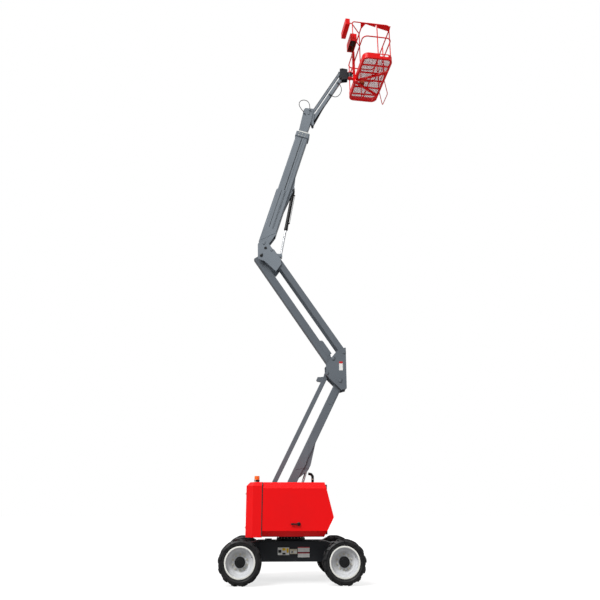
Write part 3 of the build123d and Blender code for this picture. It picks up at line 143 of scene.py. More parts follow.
FINISHES = {
    # sprayed and baked acrylic enamel: an even colour with a soft gloss and a faint orange peel
    "red_paint": finish_of("red acrylic enamel, sprayed", "#F2040A", "#DE0309", 0.35, 0.36, shine=0.22,
                           patch_mm=700, grain_mm=9),
    # polyester powder coat: duller than enamel and finely pebbled; the lower arms get a darker copy of it,
    # which is painted shade
    "grey_paint": finish_of("slate powder coat", "#7F878F", "#6D757D", 0.5, 0.40, shine=0.3,
                            patch_mm=600),
    "shaded_low_grey_paint": finish_of("slate powder coat, darkened as painted shade on lower arms", "#666D74", "#565C63", 0.5, 0.40, shine=0.3,
                                patch_mm=600),
    # charcoal powder coat: near black, satin, with dust settled low down
    "chassis_paint": finish_of("charcoal powder coat", "#25282D", "#3C3F42", 0.35, 0.42, shine=0.25,
                               patch_mm=260, low_dust=0.15),
    # black enamel: deep black with a clear gloss
    "black_paint": finish_of("black enamel", "#0D0E10", "#1D1E20", 0.4, 0.32, shine=0.35,
                             patch_mm=160),
    # hard chromium, ground: a soft mirror, blurred by fine grinding lines
    "chrome_rod": finish_of("hard chromium plate, ground", "#D2D4D7", "#C2C5C9", 0.4, 0.34, metallic=1.0,
                            patch_mm=60, grain_mm=1.5, grain_depth=0.000002, stretch=(1, 1, 14)),
    # zinc plate, yellow passivated: bright, warm and slightly blotched
    "steel": finish_of("zinc plated steel, passivated", "#DAD8CE", "#B8B3A2", 0.5, 0.5, metallic=1.0,
                       patch_mm=30, grain_mm=2),
    # sand-cast iron: dark, rough and without gloss
    "cast_iron": finish_of("grey cast iron, sand cast", "#45474A", "#5A554D", 0.5, 0.62, metallic=0.6,
                           patch_mm=60, grain_mm=2.5, grain_depth=0.0006),
    # filled natural rubber from a mould: near black, dull, pale where dust sits
    "tyre_rubber": finish_of("moulded tyre rubber", "#16171A", "#4A4844", 0.2, 0.42, ior=1.52,
                             shine=0.3, patch_mm=90, grain_mm=3, grain_depth=0.0004, low_dust=0.08),
    # synthetic rubber over braid, cured in cloth: black with a faint weave
    "hose_rubber": finish_of("hose rubber, cloth wrapped", "#1C1D1F", "#2E2F31", 0.5, 0.6, ior=1.52,
                             patch_mm=40, grain_mm=2),
    # pale enamel on pressed steel: satin, with a little dust low down
    "rim_paint": finish_of("pale grey wheel enamel", "#D9DBDE", "#B4B2AC", 0.35, 0.36, patch_mm=120,
                           low_dust=0.12),
    # cast nylon: milky white, waxy
    "white_nylon": finish_of("cast nylon", "#ECECE6", "#CFCDC2", 0.4, 0.48, ior=1.53, patch_mm=70),
    # moulded ABS: an even, strong orange with a soft gloss
    "orange_plastic": finish_of("moulded orange ABS", "#FF8408", "#F06C04", 0.4, 0.42, ior=1.54,
                                patch_mm=50),
    # red enamel on expanded steel, darkened to a dark red as painted shade on the strands' edges
    "mesh_steel": finish_of("expanded steel mesh, painted", "#A4303A", "#7E2A32", 0.6, 0.5, shine=0.3,
                              patch_mm=90),
    # moulded polycarbonate: a clear, glossy orange
    "amber_lens": finish_of("amber polycarbonate, moulded", "#FF7A12", "#F05A04", 0.4, 0.16, ior=1.585,
                            coat=0.5, patch_mm=30),
    # cast vinyl film: flat, even colours of a printed plate without its print
    "white_vinyl": finish_of("white vinyl film", "#EDEDEA", "#D8D6CE", 0.4, 0.38, patch_mm=60),
    "yellow_vinyl": finish_of("yellow vinyl film", "#F2C500", "#D9AE00", 0.4, 0.38, patch_mm=60),
    "cream_vinyl": finish_of("cream vinyl film", "#DCD3B8", "#C6BC9C", 0.4, 0.4, patch_mm=60),
    "red_vinyl": finish_of("red vinyl film", "#C81E22", "#A81518", 0.4, 0.38, patch_mm=60),
    # phenolic board: brown and dull
    "board_resin": finish_of("phenolic board", "#8A5A33", "#6E4526", 0.5, 0.5, patch_mm=40),
}
# the lower arms take the darker copy of the slate coat: painted shade, not a paint of their own
SHADED_LOW_ARMS = ("lower_riser", "lower_link", "upper_riser", "upper_link", "mid_knuckle")
DARK_PARTS = ("jib_end",)


def dress_parts():
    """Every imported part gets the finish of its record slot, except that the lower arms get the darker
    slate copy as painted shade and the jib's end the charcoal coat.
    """
    for row in RECORD["subparts"]:
        # the lower arms get the darker slate copy, which is painted shade
        name = "shaded_low_grey_paint" if row["node"] in SHADED_LOW_ARMS else row["material_slot"]
        if row["node"] in DARK_PARTS:
            name = "chassis_paint"
        node = NODES[row["node"]]
        node.data.materials.clear()
        node.data.materials.append(FINISHES[name])


# =================================================================================================
# Shapes
# =================================================================================================
def piece(name, draw, body, finishes, bevel=0.0, smooth=False):
    """A piece drawn by a function into a mesh, with its finishes, riding on its body."""
    shape = bmesh.new()
    draw(shape)
    bmesh.ops.recalc_face_normals(shape, faces=shape.faces)
    mesh = bpy.data.meshes.new(name)
    shape.to_mesh(mesh)
    shape.free()
    thing = bpy.data.objects.new(name, mesh)
    bpy.context.scene.collection.objects.link(thing)
    for finish in finishes:
        mesh.materials.append(FINISHES[finish])
    if bevel:
        rounding = thing.modifiers.new("edge", "BEVEL")
        rounding.width = bevel
        rounding.segments = 2
        rounding.limit_method = "ANGLE"
        rounding.angle_limit = math.radians(40)
    if smooth:
        for face in mesh.polygons:
            face.use_smooth = True
        thing.data.set_sharp_from_angle(angle=math.radians(35))
    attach(thing, body)
    return thing


def axes_of(direction):
    """Two directions square to a given one."""
    w = Vector(direction).normalized()
    u = w.orthogonal().normalized()
    return u, w.cross(u), w


def turn(shape, profile, at, direction, sides=32, finish=0):
    """A turned solid: a closed profile of (radius, height) about a line."""
    u, v, w = axes_of(direction)
    rings = []
    for radius, height in profile:
        ring = []
        for i in range(sides):
            a = math.tau * i / sides
            out = (u * math.cos(a) + v * math.sin(a)) * radius
            ring.append(shape.verts.new(Vector(at) + w * height + out))
        rings.append(ring)
    for low, high in zip(rings, rings[1:]):
        for i in range(sides):
            k = (i + 1) % sides
            face = shape.faces.new((low[i], low[k], high[k], high[i]))
            face.material_index = finish
    for ring in (rings[0], rings[-1]):
        shape.faces.new(ring).material_index = finish


def ring(shape, profile, at, direction, sides=48, finish=0):
    """A turned ring: a closed profile that stays off its line."""
    u, v, w = axes_of(direction)
    loops = []
    for i in range(sides):
        a = math.tau * i / sides
        out = u * math.cos(a) + v * math.sin(a)
        loops.append([shape.verts.new(Vector(at) + w * height + out * radius) for radius, height in profile])
    count = len(profile)
    for i in range(sides):
        here, there = loops[i], loops[(i + 1) % sides]
        for k in range(count):
            n = (k + 1) % count
            shape.faces.new((here[k], there[k], there[n], here[n])).material_index = finish


def slab(shape, outline, at, u, v, depth, finish=0):
    """A flat plate: an outline on two directions, given a thickness square to them."""
    u, v = Vector(u), Vector(v)
    w = u.cross(v).normalized() * depth
    low = [shape.verts.new(Vector(at) + u * a + v * b) for a, b in outline]
    high = [shape.verts.new(p.co + w) for p in low]
    shape.faces.new(low).material_index = finish
    shape.faces.new(high).material_index = finish
    for i in range(len(low)):
        k = (i + 1) % len(low)
        shape.faces.new((low[i], low[k], high[k], high[i])).material_index = finish


def block(shape, low, high, finish=0):
    """A block between two corners."""
    outline = [(0, 0), (high[0] - low[0], 0), (high[0] - low[0], high[1] - low[1]), (0, high[1] - low[1])]
    slab(shape, outline, low, (1, 0, 0), (0, 1, 0), high[2] - low[2], finish)


def nut(shape, at, direction, across, height, finish=0):
    """A hexagon nut on its washer, with the bolt's end."""
    flat = across / math.sqrt(3)
    turn(shape, [(across * 0.72, 0), (across * 0.72, height * 0.16)], at, direction, 20, finish)
    turn(shape, [(flat, height * 0.16), (flat, height * 0.9), (flat * 0.86, height)], at, direction, 6,
         finish)
    turn(shape, [(across * 0.3, height), (across * 0.3, height * 1.3), (across * 0.2, height * 1.4)],
         at, direction, 12, finish)


def seat(node, start, direction):
    """The first point of a part's surface that a line meets."""
    hit, point, _, _ = NODES[node].ray_cast(Vector(start), Vector(direction))
    if not hit:
        raise ValueError(f"nothing of {node} at {start}")
    return point


def arm_at(foot, angle, along, off, y=0.0):
    """The point `along` an arm and `off` to its left."""
    c, s = math.cos(math.radians(angle)), math.sin(math.radians(angle))
    return Vector((foot.x + along * c - off * s, y, foot.z + along * s + off * c))


# =================================================================================================
# Wheels
# =================================================================================================
BOLT_COUNT = 10
BOLT_CIRCLE = 0.145
BOLT_ACROSS = 0.030
BOLT_HEIGHT = 0.022
HUB_PLUG_CIRCLE = 0.083
HUB_PLUG_TURNS = (0.6, 2.7, 4.8)
FLANGE_RADIUS = 0.292
SIDEWALL_RIBS = ((0.322, 0.0035), (0.352, 0.0025), (0.367, 0.0025))
VALVE_PLACE = (0.225, 0.09)


def wheel_hardware(name, middle, side):
    """One wheel's bolts, black hub cover and bright outer flange, its tyre's ribs and its valve."""
    out = Vector((0, side, 0))
    body = "wheel_" + name
    rim = "rim_" + name
    centre = Vector(middle)
    away = centre + out * 0.5

    def bolts(shape):
        for i in range(BOLT_COUNT):
            a = math.tau * (i + 0.5) / BOLT_COUNT
            spoke = Vector((math.cos(a), 0, math.sin(a))) * BOLT_CIRCLE
            nut(shape, seat(rim, away + spoke, -out), out, BOLT_ACROSS, BOLT_HEIGHT)

    piece(f"wheel_bolts_{name}", bolts, body, ["steel"])
    face = (seat(rim, away, -out) - centre).dot(out)

    def hub(shape):
        profile = [(0.1035, face - 0.075), (0.1035, face - 0.004), (0.096, face + 0.006),
                   (0.070, face + 0.010), (0.066, face + 0.024), (0.030, face + 0.027)]
        turn(shape, profile, centre, out, 40)
        for a in HUB_PLUG_TURNS:
            plug = centre + Vector((math.cos(a), 0, math.sin(a))) * HUB_PLUG_CIRCLE
            turn(shape, [(0.011, 0), (0.011, 0.012), (0.007, 0.016)], plug + out * (face + 0.006), out, 6)

    piece(f"hub_cover_{name}", hub, body, ["black_paint"], smooth=True)

    def flange(shape):
        lip = (seat(rim, away + Vector((0, 0, FLANGE_RADIUS)), -out) - centre).dot(out)
        profile = [(0.268, lip - 0.010), (0.272, lip + 0.004), (0.290, lip + 0.005), (0.2985, lip + 0.001),
                   (0.2985, lip - 0.006)]
        ring(shape, profile, centre, out, 72)

    piece(f"rim_flange_{name}", flange, body, ["white_nylon"], smooth=True)

    def sidewall(shape):
        for face_side in (-1, 1):
            facing = out * face_side
            for radius, half in SIDEWALL_RIBS:
                start = centre + facing * 0.5 + Vector((0, 0, radius))
                lift = (seat("tyre_" + name, start, -facing) - centre).dot(facing)
                profile = [(radius - half * 2, lift - 0.002), (radius - half, lift + 0.003),
                           (radius + half, lift + 0.003), (radius + half * 2, lift - 0.002)]
                ring(shape, profile, centre, facing, 72)

    piece(f"tyre_ribs_{name}", sidewall, body, ["tyre_rubber"], smooth=True)

    def valve(shape):
        base = seat(rim, away + Vector((VALVE_PLACE[0], 0, VALVE_PLACE[1])), -out)
        turn(shape, [(0.007, 0), (0.007, 0.022), (0.005, 0.024), (0.005, 0.040)], base, out, 10)

    piece(f"tyre_valve_{name}", valve, body, ["hose_rubber"])


# =================================================================================================
# Upper works
# =================================================================================================
HANDLE_Z = 1.12
HANDLE_X = 0.125


def cover_handle(hood, body, side):
    """The black lever latch of a cover, on its round rose."""
    out = Vector((0, side, 0))
    face = seat(hood, (HANDLE_X, side * 2, HANDLE_Z), -out)

    def draw(shape):
        rose = [(0.036, 0), (0.036, 0.006), (0.024, 0.012), (0.020, 0.030), (0.016, 0.033)]
        turn(shape, rose, face, out, 24)
        arm = [(0.020, -0.018), (0.020, 0.020), (-0.04, 0.014), (-0.150, 0.016), (-0.163, 0.006),
               (-0.163, -0.008), (-0.150, -0.016), (-0.04, -0.014)]
        slab(shape, [(a, b * side) for a, b in arm], face + out * 0.026, (1, 0, 0), (0, 0, side), -0.016)

    piece(f"{hood}_latch", draw, body, ["black_paint"], bevel=0.004)


HINGE_X = (-0.40, 0.05, 0.50)
HINGE_HALF = 0.05


def cover_hinges(hood, body, side):
    """Three strap hinges along the inner top edge of a cover."""
    def draw(shape):
        for x in HINGE_X:
            top = seat(hood, (x, side * 0.262, 2.5), (0, 0, -1))
            wide = HINGE_HALF
            knuckle = Vector((x, side * 0.243, top.z + 0.004))
            slab(shape, [(-wide, 0), (wide, 0), (wide, 0.055), (-wide, 0.055)],
                 Vector((x, side * 0.245, top.z)), (1, 0, 0), (0, side, 0), 0.005 * side)
            turn(shape, [(0.008, -wide), (0.008, wide)], knuckle, (1, 0, 0), 12)
            for step in (-0.03, 0.03):
                nut(shape, Vector((x + step, side * 0.275, top.z + 0.005)), (0, 0, 1), 0.013, 0.008)

    piece(f"{hood}_hinges", draw, body, ["steel"])


# where the black strip that paints the shade in the counterweight's seam sits
SEAM_SHADE_X = (-0.616, -0.601)
SEAM_SHADE_MIDDLE_Z = 1.45


def tail_seam_shade():
    """A black strip in rubber finish round the counterweight's front edge, where the covers close against
    it: painted shade in the seam between them.
    """
    middle = sum(SEAM_SHADE_X) / 2

    def draw(shape):
        for side in (-1, 1):
            rows = []
            for step in range(41):
                a = math.radians(-28 + step * 78 / 40)
                way = Vector((0, side * math.cos(a), math.sin(a)))
                skin = seat("counterweight", Vector((middle, 0, SEAM_SHADE_MIDDLE_Z)) + way * 3, -way)
                rows.append([shape.verts.new((x, skin.y + way.y * lift, skin.z + way.z * lift))
                             for x, lift in ((SEAM_SHADE_X[0], -0.004), (SEAM_SHADE_X[0], 0.004), (SEAM_SHADE_X[1], 0.004),
                                             (SEAM_SHADE_X[1], -0.004))])
            for here, there in zip(rows, rows[1:]):
                for k in range(4):
                    n = (k + 1) % 4
                    shape.faces.new((here[k], there[k], there[n], here[n]))

    # black rubber finish used as painted shade in the seam
    piece("counterweight_seam_shade", draw, "upper_works", ["hose_rubber"])


def beacon_trim():
    """The dark foot of the beacon and the ribs of its lens."""
    low, high = (Vector(c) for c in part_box("beacon"))
    middle = (low + high) / 2
    foot = Vector((middle.x, middle.y, low.z))
    tall = high.z - low.z

    def base(shape):
        turn(shape, [(0.066, 0.0), (0.066, 0.010), (0.055, 0.020), (0.050, 0.040), (0.058, 0.046),
                     (0.058, 0.060), (0.054, 0.062)], foot, (0, 0, 1), 32)

    piece("beacon_foot", base, "upper_works", ["black_paint"], smooth=True)

    def ribs(shape):
        for k in range(5):
            z = 0.068 + k * 0.012
            ring(shape, [(0.0505, z), (0.0545, z + 0.003), (0.0505, z + 0.007)], foot, (0, 0, 1), 32)
        top = [(0.030, tall - 0.001), (0.038, tall + 0.004), (0.046, tall - 0.001)]
        ring(shape, top, foot, (0, 0, 1), 32)

    piece("beacon_ribs", ribs, "upper_works", ["amber_lens"], smooth=True)


EXHAUST_XY = (0.510, 0.600)


def exhaust_trim():
    """The red flange that the exhaust comes through, and its clamp."""
    foot = Vector((*EXHAUST_XY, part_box("exhaust")[0][2]))

    def flange(shape):
        profile = [(0.050, 0.0), (0.074, 0.0), (0.070, 0.010), (0.056, 0.016), (0.054, 0.046),
                   (0.050, 0.046)]
        ring(shape, profile, foot, (0, 0, 1), 32)

    piece("exhaust_flange", flange, "cover_left", ["red_paint"], smooth=True)

    def clamp(shape):
        ring(shape, [(0.0305, 0.120), (0.034, 0.120), (0.034, 0.135), (0.0305, 0.135)], foot, (0, 0, 1), 24)
        nut(shape, foot + Vector((0.0, -0.034, 0.1275)), (0, -1, 0), 0.012, 0.012)

    piece("exhaust_clamp", clamp, "cover_left", ["steel"])


EYE_FORWARD = 0.17
EYE_OUT = 0.72
TAIL_BOLTS_Z = (1.05, 1.70)


def tail_trim():
    """Lifting eyes and fixing bolts on the counterweight."""
    back_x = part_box("counterweight")[0][0]

    def draw(shape):
        for side in (-1, 1):
            top = seat("counterweight", (back_x + EYE_FORWARD, side * EYE_OUT, 3), (0, 0, -1))
            turn(shape, [(0.030, 0), (0.030, 0.012), (0.014, 0.018)], top, (0, 0, 1), 20)
            section = [(0.017 + 0.007 * math.cos(a), 0.007 * math.sin(a)) for a in
                       (math.tau * k / 8 for k in range(8))]
            ring(shape, section, top + Vector((0, 0, 0.036)), (1, 0, 0), 20)
            for z in TAIL_BOLTS_Z:
                back = seat("counterweight", (-3, side * 0.60, z), (1, 0, 0))
                nut(shape, back, (-1, 0, 0), 0.034, 0.020)

    piece("counterweight_eyes", draw, "upper_works", ["steel"], smooth=True)


# =================================================================================================
# Chassis
# =================================================================================================
def side_plate(name, node, body, side, fields):
    """A blank plate of vinyl fields on a part's upright side: x, z corners, lift and finish of each."""
    finishes = ["white_vinyl", "yellow_vinyl", "cream_vinyl", "red_vinyl", "black_paint"]

    def draw(shape):
        for x0, x1, z0, z1, lift, finish in fields:
            face = seat(node, ((x0 + x1) / 2, side * 2, (z0 + z1) / 2), (0, -side, 0))
            y = face.y + side * lift
            y0, y1 = sorted((face.y, y))
            block(shape, (x0, y0, z0), (x1, y1, z1), finish)

    piece(name, draw, body, finishes, bevel=0.0004)


def chassis_plates():
    """The three groups of blank plates on each side of the chassis."""
    for side, hand in ((-1, "near"), (1, "far")):
        side_plate(f"instruction_plate_{hand}", "chassis_frame", "chassis", side, [
            (-0.278, -0.046, 0.518, 0.660, 0.0012, 0),
            (-0.268, -0.205, 0.560, 0.615, 0.0018, 4),
            (-0.185, -0.118, 0.600, 0.650, 0.0018, 1),
            (-0.100, -0.056, 0.560, 0.645, 0.0018, 1),
            (-0.185, -0.120, 0.526, 0.560, 0.0018, 4),
        ])
        side_plate(f"capacity_plate_{hand}", "chassis_frame", "chassis", side, [
            (-0.034, 0.117, 0.537, 0.631, 0.0012, 2),
            (-0.020, 0.030, 0.548, 0.600, 0.0018, 0),
            (0.052, 0.104, 0.548, 0.600, 0.0018, 0),
            (0.000, 0.024, 0.556, 0.592, 0.0024, 4),
        ])
        side_plate(f"warning_plates_{hand}", "chassis_frame", "chassis", side, [
            (0.129, 0.368, 0.576, 0.665, 0.0012, 0),
            (0.129, 0.368, 0.652, 0.668, 0.0018, 3),
            (0.129, 0.368, 0.474, 0.560, 0.0012, 0),
            (0.129, 0.368, 0.546, 0.563, 0.0018, 3),
        ])


RING_BOLTS = 24
RING_BOLT_CIRCLE = 0.282
RING_BOLT_Z = 0.824
AXLE_X = 1.015
AXLE_BOLT_Y = 0.24
AXLE_BOLT_STEP = 0.05


def chassis_hardware():
    """The bolts of the slewing ring, and the bolts and washer plates under the axles."""
    def bolts(shape):
        for i in range(RING_BOLTS):
            a = math.tau * i / RING_BOLTS
            spot = Vector((math.cos(a) * RING_BOLT_CIRCLE, math.sin(a) * RING_BOLT_CIRCLE, RING_BOLT_Z))
            nut(shape, spot, (0, 0, 1), 0.019, 0.014)

    piece("slewing_bolts", bolts, "chassis", ["steel"])

    def straps(shape):
        for end in (-1, 1):
            for side in (-1, 1):
                for step in (-AXLE_BOLT_STEP, AXLE_BOLT_STEP):
                    x, y = end * AXLE_X + step, side * AXLE_BOLT_Y
                    nut(shape, Vector((x, y, 0.3575)), (0, 0, -1), 0.028, 0.020)
                    block(shape, (x - 0.022, y - 0.03, 0.352), (x + 0.022, y + 0.03, 0.3585))

    piece("axle_bolts", straps, "chassis", ["steel"])


# =================================================================================================
# Pins and cylinders
# =================================================================================================
CAP_DEEP = 0.009
CAP_FLUSH = 0.002
PINS = (
    # name, node, body, the joint whose pin it is, step from that pin, cap radius, cap depth, finish
    ("riser_head", "mid_knuckle", "knuckle_mid", "knuckle_mid_turn", (0, 0, 0), 0.034, CAP_DEEP,
     "shaded_low_grey_paint"),
    ("link_head", "mid_knuckle", "knuckle_mid", "knuckle_mid_turn", (-0.295, 0, 0.172), 0.026, CAP_DEEP,
     "shaded_low_grey_paint"),
    ("upper_foot", "mid_knuckle", "knuckle_mid", "riser_up_turn", (0, 0, 0), 0.034, CAP_DEEP,
     "shaded_low_grey_paint"),
    ("upper_link_foot", "mid_knuckle", "knuckle_mid", "link_up_turn", (0, 0, 0), 0.026, CAP_DEEP,
     "shaded_low_grey_paint"),
    ("upper_head", "top_knuckle", "knuckle_top", "knuckle_top_turn", (0, 0, 0), 0.036, CAP_DEEP,
     "black_paint"),
    ("upper_link_head", "top_knuckle", "knuckle_top", "knuckle_top_turn", (0.245, 0, 0.146), 0.022,
     CAP_DEEP, "grey_paint"),
    ("boom_foot", "top_knuckle", "knuckle_top", "luff", (0, 0, 0), 0.030, CAP_DEEP, "grey_paint"),
    ("level_pin", "boom_inner", "boom_tip", "level", (0, 0, 0), 0.026, CAP_DEEP, "grey_paint"),
    ("jib_foot", "bellcrank", "jib_base", "jib_lift", (0, 0, 0), 0.024, CAP_FLUSH, "grey_paint"),
    ("jib_head", "jib_end", "jib_tip", "jib_tip_turn", (0, 0, 0), 0.028, CAP_DEEP, "black_paint"),
    ("jib_link_head", "jib_end", "jib_tip", "jib_tip_turn", (0.040, 0, 0.300), 0.024, CAP_DEEP,
     "black_paint"),
    ("luff_top", "boom_outer", "boom", "luff_cylinder_turn", (0, 0, 0), 0.026, CAP_DEEP, "black_paint"),
)


KEEPER_LEAN = 0.9


def pin_caps():
    """Each pin's cap, with the keeper plate that stops it turning and its screw."""
    for name, node, body, joint, step, radius, deep, finish in PINS:
        place = JOINT_AT[joint] + Vector(step)
        cap = [(radius, -0.004), (radius, deep * 0.5), (radius * 0.8, deep), (radius * 0.3, deep)]

        def draw(shape):
            for side in (-1, 1):
                out = Vector((0, side, 0))
                face = seat(node, (place.x, side * 1.5, place.z), -out)
                turn(shape, cap, face, out, 28)
                if deep == CAP_FLUSH:
                    continue
                tail = Vector((math.cos(KEEPER_LEAN), 0, math.sin(KEEPER_LEAN)))
                reach = radius * 1.55
                wide = radius * 0.34
                across = Vector((-tail.z, 0, tail.x))
                slab(shape, [(0, -wide), (reach, -wide), (reach, wide), (0, wide)], face + out * 0.001,
                     tail, across, 0.005 * -side)
                nut(shape, face + tail * (reach - wide) + out * 0.006, out, radius * 0.36, radius * 0.2)

        piece(f"pin_cap_{name}", draw, body, [finish], smooth=True)


def cylinder_ports(name, body, foot, eye, radius, reach, side_step):
    """The port blocks and hard line of a cylinder, along its barrel."""
    line = (eye - foot).normalized()
    over = Vector((-line.z, 0, line.x)) * side_step

    def draw(shape):
        for along in (0.10, reach - 0.05):
            spot = foot + line * along + over * (radius - 0.004)
            turn(shape, [(0.017, 0), (0.017, 0.018), (0.012, 0.022), (0.012, 0.034)], spot, over, 6)
        start = foot + line * 0.10 + over * (radius + 0.020)
        turn(shape, [(0.006, 0), (0.006, reach - 0.15)], start, line, 12)

    piece(name, draw, body, ["black_paint"], smooth=True)


# =================================================================================================
# Boom and knuckles
# =================================================================================================
def knuckle_label():
    """The blank white plate with a red head on the middle knuckle."""
    side_plate("knuckle_plate", "mid_knuckle", "knuckle_mid", -1, [
        (1.080, 1.165, 4.395, 4.600, 0.0012, 0),
        (1.080, 1.165, 4.555, 4.603, 0.0018, 3),
    ])


COLLAR_SCREWS_ALONG = (3.262, 3.325)
COLLAR_SCREWS_OFF = (-0.12, -0.035, 0.05)


def collar_screws():
    """The screws that hold the wear pads in the boom's collar."""
    foot = JOINT_AT["luff"]

    def draw(shape):
        for side in (-1, 1):
            for off in COLLAR_SCREWS_OFF:
                for along in COLLAR_SCREWS_ALONG:
                    spot = arm_at(foot, BOOM_ANGLE, along, off, side * 1.0)
                    face = seat("boom_outer", spot, (0, -side, 0))
                    nut(shape, face, (0, side, 0), 0.017, 0.008)

    piece("collar_screws", draw, "boom", ["steel"])


def on_arm(shape, node, foot, angle, side, outline, lift, sink=0.002, finish=0):
    """A plate on an arm's side: its outline in metres along the arm and to its left."""
    c, s = math.cos(math.radians(angle)), math.sin(math.radians(angle))
    along, left = Vector((c, 0, s)), Vector((-s, 0, c))
    middle = sum((Vector(p) for p in outline), Vector((0, 0))) / len(outline)
    spot = arm_at(foot, angle, middle.x, middle.y, side * 2.0)
    face = seat(node, spot, (0, -side, 0)).y
    start = Vector((foot.x, face - side * sink, foot.z))
    slab(shape, outline, start, along, left, -side * (lift + sink), finish)


def strip(start, end, low, high):
    """The outline of a straight strip between two places along an arm."""
    return [(start, low), (end, low), (end, high), (start, high)]


def rounded_plate(start, end, half, steps=10):
    """The outline of a plate with its first end rounded."""
    turns = [math.radians(90 + 180 * k / steps) for k in range(steps + 1)]
    nose = [(start + half + half * math.cos(a), half * math.sin(a)) for a in turns]
    return nose + [(end, -half), (end, half)]


def boom_rails():
    """The folded edge along the boom's underside, with black strips beside it and along the doubler's seam
    that are painted shade.
    """
    foot = JOINT_AT["luff"]

    def rails(shape):
        for side in (-1, 1):
            on_arm(shape, "boom_outer", foot, BOOM_ANGLE, side, strip(0.46, 3.20, -0.108, -0.062), 0.005)

    piece("boom_edge_rails", rails, "boom", ["grey_paint"], bevel=0.001)

    # black strips painted as the shade in the groove beside the edge rail and along the doubler's seam
    def painted_shade_strips(shape):
        for side in (-1, 1):
            on_arm(shape, "boom_outer", foot, BOOM_ANGLE, side, strip(0.40, 3.23, -0.066, -0.042), 0.0015)
            on_arm(shape, "boom_outer", foot, BOOM_ANGLE, side, strip(0.50, 1.56, 0.012, 0.022), 0.0012)

    piece("boom_painted_shade_strips", painted_shade_strips, "boom", ["black_paint"])


def riser_plates():
    """The gusset over the lifting cylinder's lug and the doublers at the risers' ends."""
    low, high = JOINT_AT["riser_lift"], JOINT_AT["riser_up_turn"]
    gusset = [(0.985, 0.050), (1.100, -0.100), (1.200, -0.100), (1.449, -0.052), (1.660, 0.056)]

    def plates(shape):
        for side in (-1, 1):
            on_arm(shape, "lower_riser", low, RISER_ANGLE, side, gusset, 0.005)
            on_arm(shape, "lower_riser", low, RISER_ANGLE, side, rounded_plate(2.60, 2.98, 0.062), 0.005)

    piece("lower_riser_doublers", plates, "riser_low", ["shaded_low_grey_paint"], bevel=0.0015)

    def tops(shape):
        for side in (-1, 1):
            tail = [(1.0 - a, b) for a, b in rounded_plate(0.46, 0.86, 0.062)]
            on_arm(shape, "upper_riser", high, UPPER_ANGLE, side, tail, 0.005)

    piece("upper_riser_doublers", tops, "riser_up", ["shaded_low_grey_paint"], bevel=0.0015)


CYLINDERS = (
    # name, joint at its foot, joint of its rod, body, barrel radius, barrel length, side of the line
    ("luff_line", "luff_cylinder_turn", "luff_piston_slide", "luff_cylinder", 0.040, 0.95, 1),
    ("lift_line", "riser_cylinder_turn", "riser_piston_slide", "riser_cylinder", 0.050, 0.80, -1),
)


def cylinder_lines():
    """The ports and hard line of the luffing and lifting cylinders."""
    for name, joint, slide, body, radius, reach, side_step in CYLINDERS:
        foot = JOINT_AT[joint]
        cylinder_ports(name, body, foot, foot + JOINT_WAY[slide], radius, reach, side_step)


PLUG_STEP = (0.10, 0, 0.20)


def knuckle_plugs():
    """The round black plugs in the top knuckle's plates, between its pins."""
    at = JOINT_AT["knuckle_top_turn"] + Vector(PLUG_STEP)

    def draw(shape):
        for side in (-1, 1):
            face = seat("top_knuckle", (at.x, side * 1.5, at.z), (0, -side, 0))
            turn(shape, [(0.034, 0), (0.034, 0.006), (0.026, 0.012)], face, (0, side, 0), 24)

    piece("knuckle_plugs", draw, "knuckle_top", ["black_paint"], smooth=True)


# =================================================================================================
# Platform
# =================================================================================================
PLATFORM_TURNED = Matrix.Rotation(math.radians(PLATFORM_YAW), 4, "Z")
PLATFORM = Matrix.Translation(JOINT_AT["platform_turn"]) @ PLATFORM_TURNED
FLOOR_INSIDE = (0.195, 0.895, -0.900, 0.800)
MESH_TOP = 0.040
MESH_THICK = 0.004
MESH_STRAND = 0.008
MESH_STEP = 0.022
MESH_LEAN = 60


def platform_piece(name, draw, finishes, bevel=0.0, smooth=False):
    """A piece drawn square to the platform, then turned into place with it."""
    def placed(shape):
        draw(shape)
        bmesh.ops.transform(shape, matrix=PLATFORM, verts=shape.verts)

    return piece(name, placed, "platform", finishes, bevel, smooth)


def floor_mesh():
    """The expanded mesh of the platform's floor: two sets of leaning strands."""
    x0, x1, y0, y1 = FLOOR_INSIDE

    def draw(shape):
        for lean, level in ((MESH_LEAN, 0.0), (-MESH_LEAN, 0.0008)):
            run = Vector((math.cos(math.radians(lean)), math.sin(math.radians(lean))))
            across = Vector((-run.y, run.x))
            corners = [Vector((x, y)) for x in (x0, x1) for y in (y0, y1)]
            reach = [c.dot(across) for c in corners]
            step = MESH_STEP
            place = math.ceil(min(reach) / step) * step
            while place < max(reach):
                base = across * place
                spans = []
                for low, high, start, slope in ((x0, x1, base.x, run.x), (y0, y1, base.y, run.y)):
                    spans.append(sorted(((low - start) / slope, (high - start) / slope)))
                begin = max(s[0] for s in spans)
                end = min(s[1] for s in spans)
                if end - begin > 0.01:
                    a = base + run * begin
                    start = (a.x, a.y, MESH_TOP - MESH_THICK - level)
                    slab(shape, strip(0, end - begin, -MESH_STRAND / 2, MESH_STRAND / 2), start,
                         (run.x, run.y, 0), (across.x, across.y, 0), MESH_THICK - 0.001)
                place += step

    # the mesh's dark red finish holds painted shade on the strands' edges
    mesh = platform_piece("floor_mesh", draw, ["mesh_steel"])
    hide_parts("basket_floor")


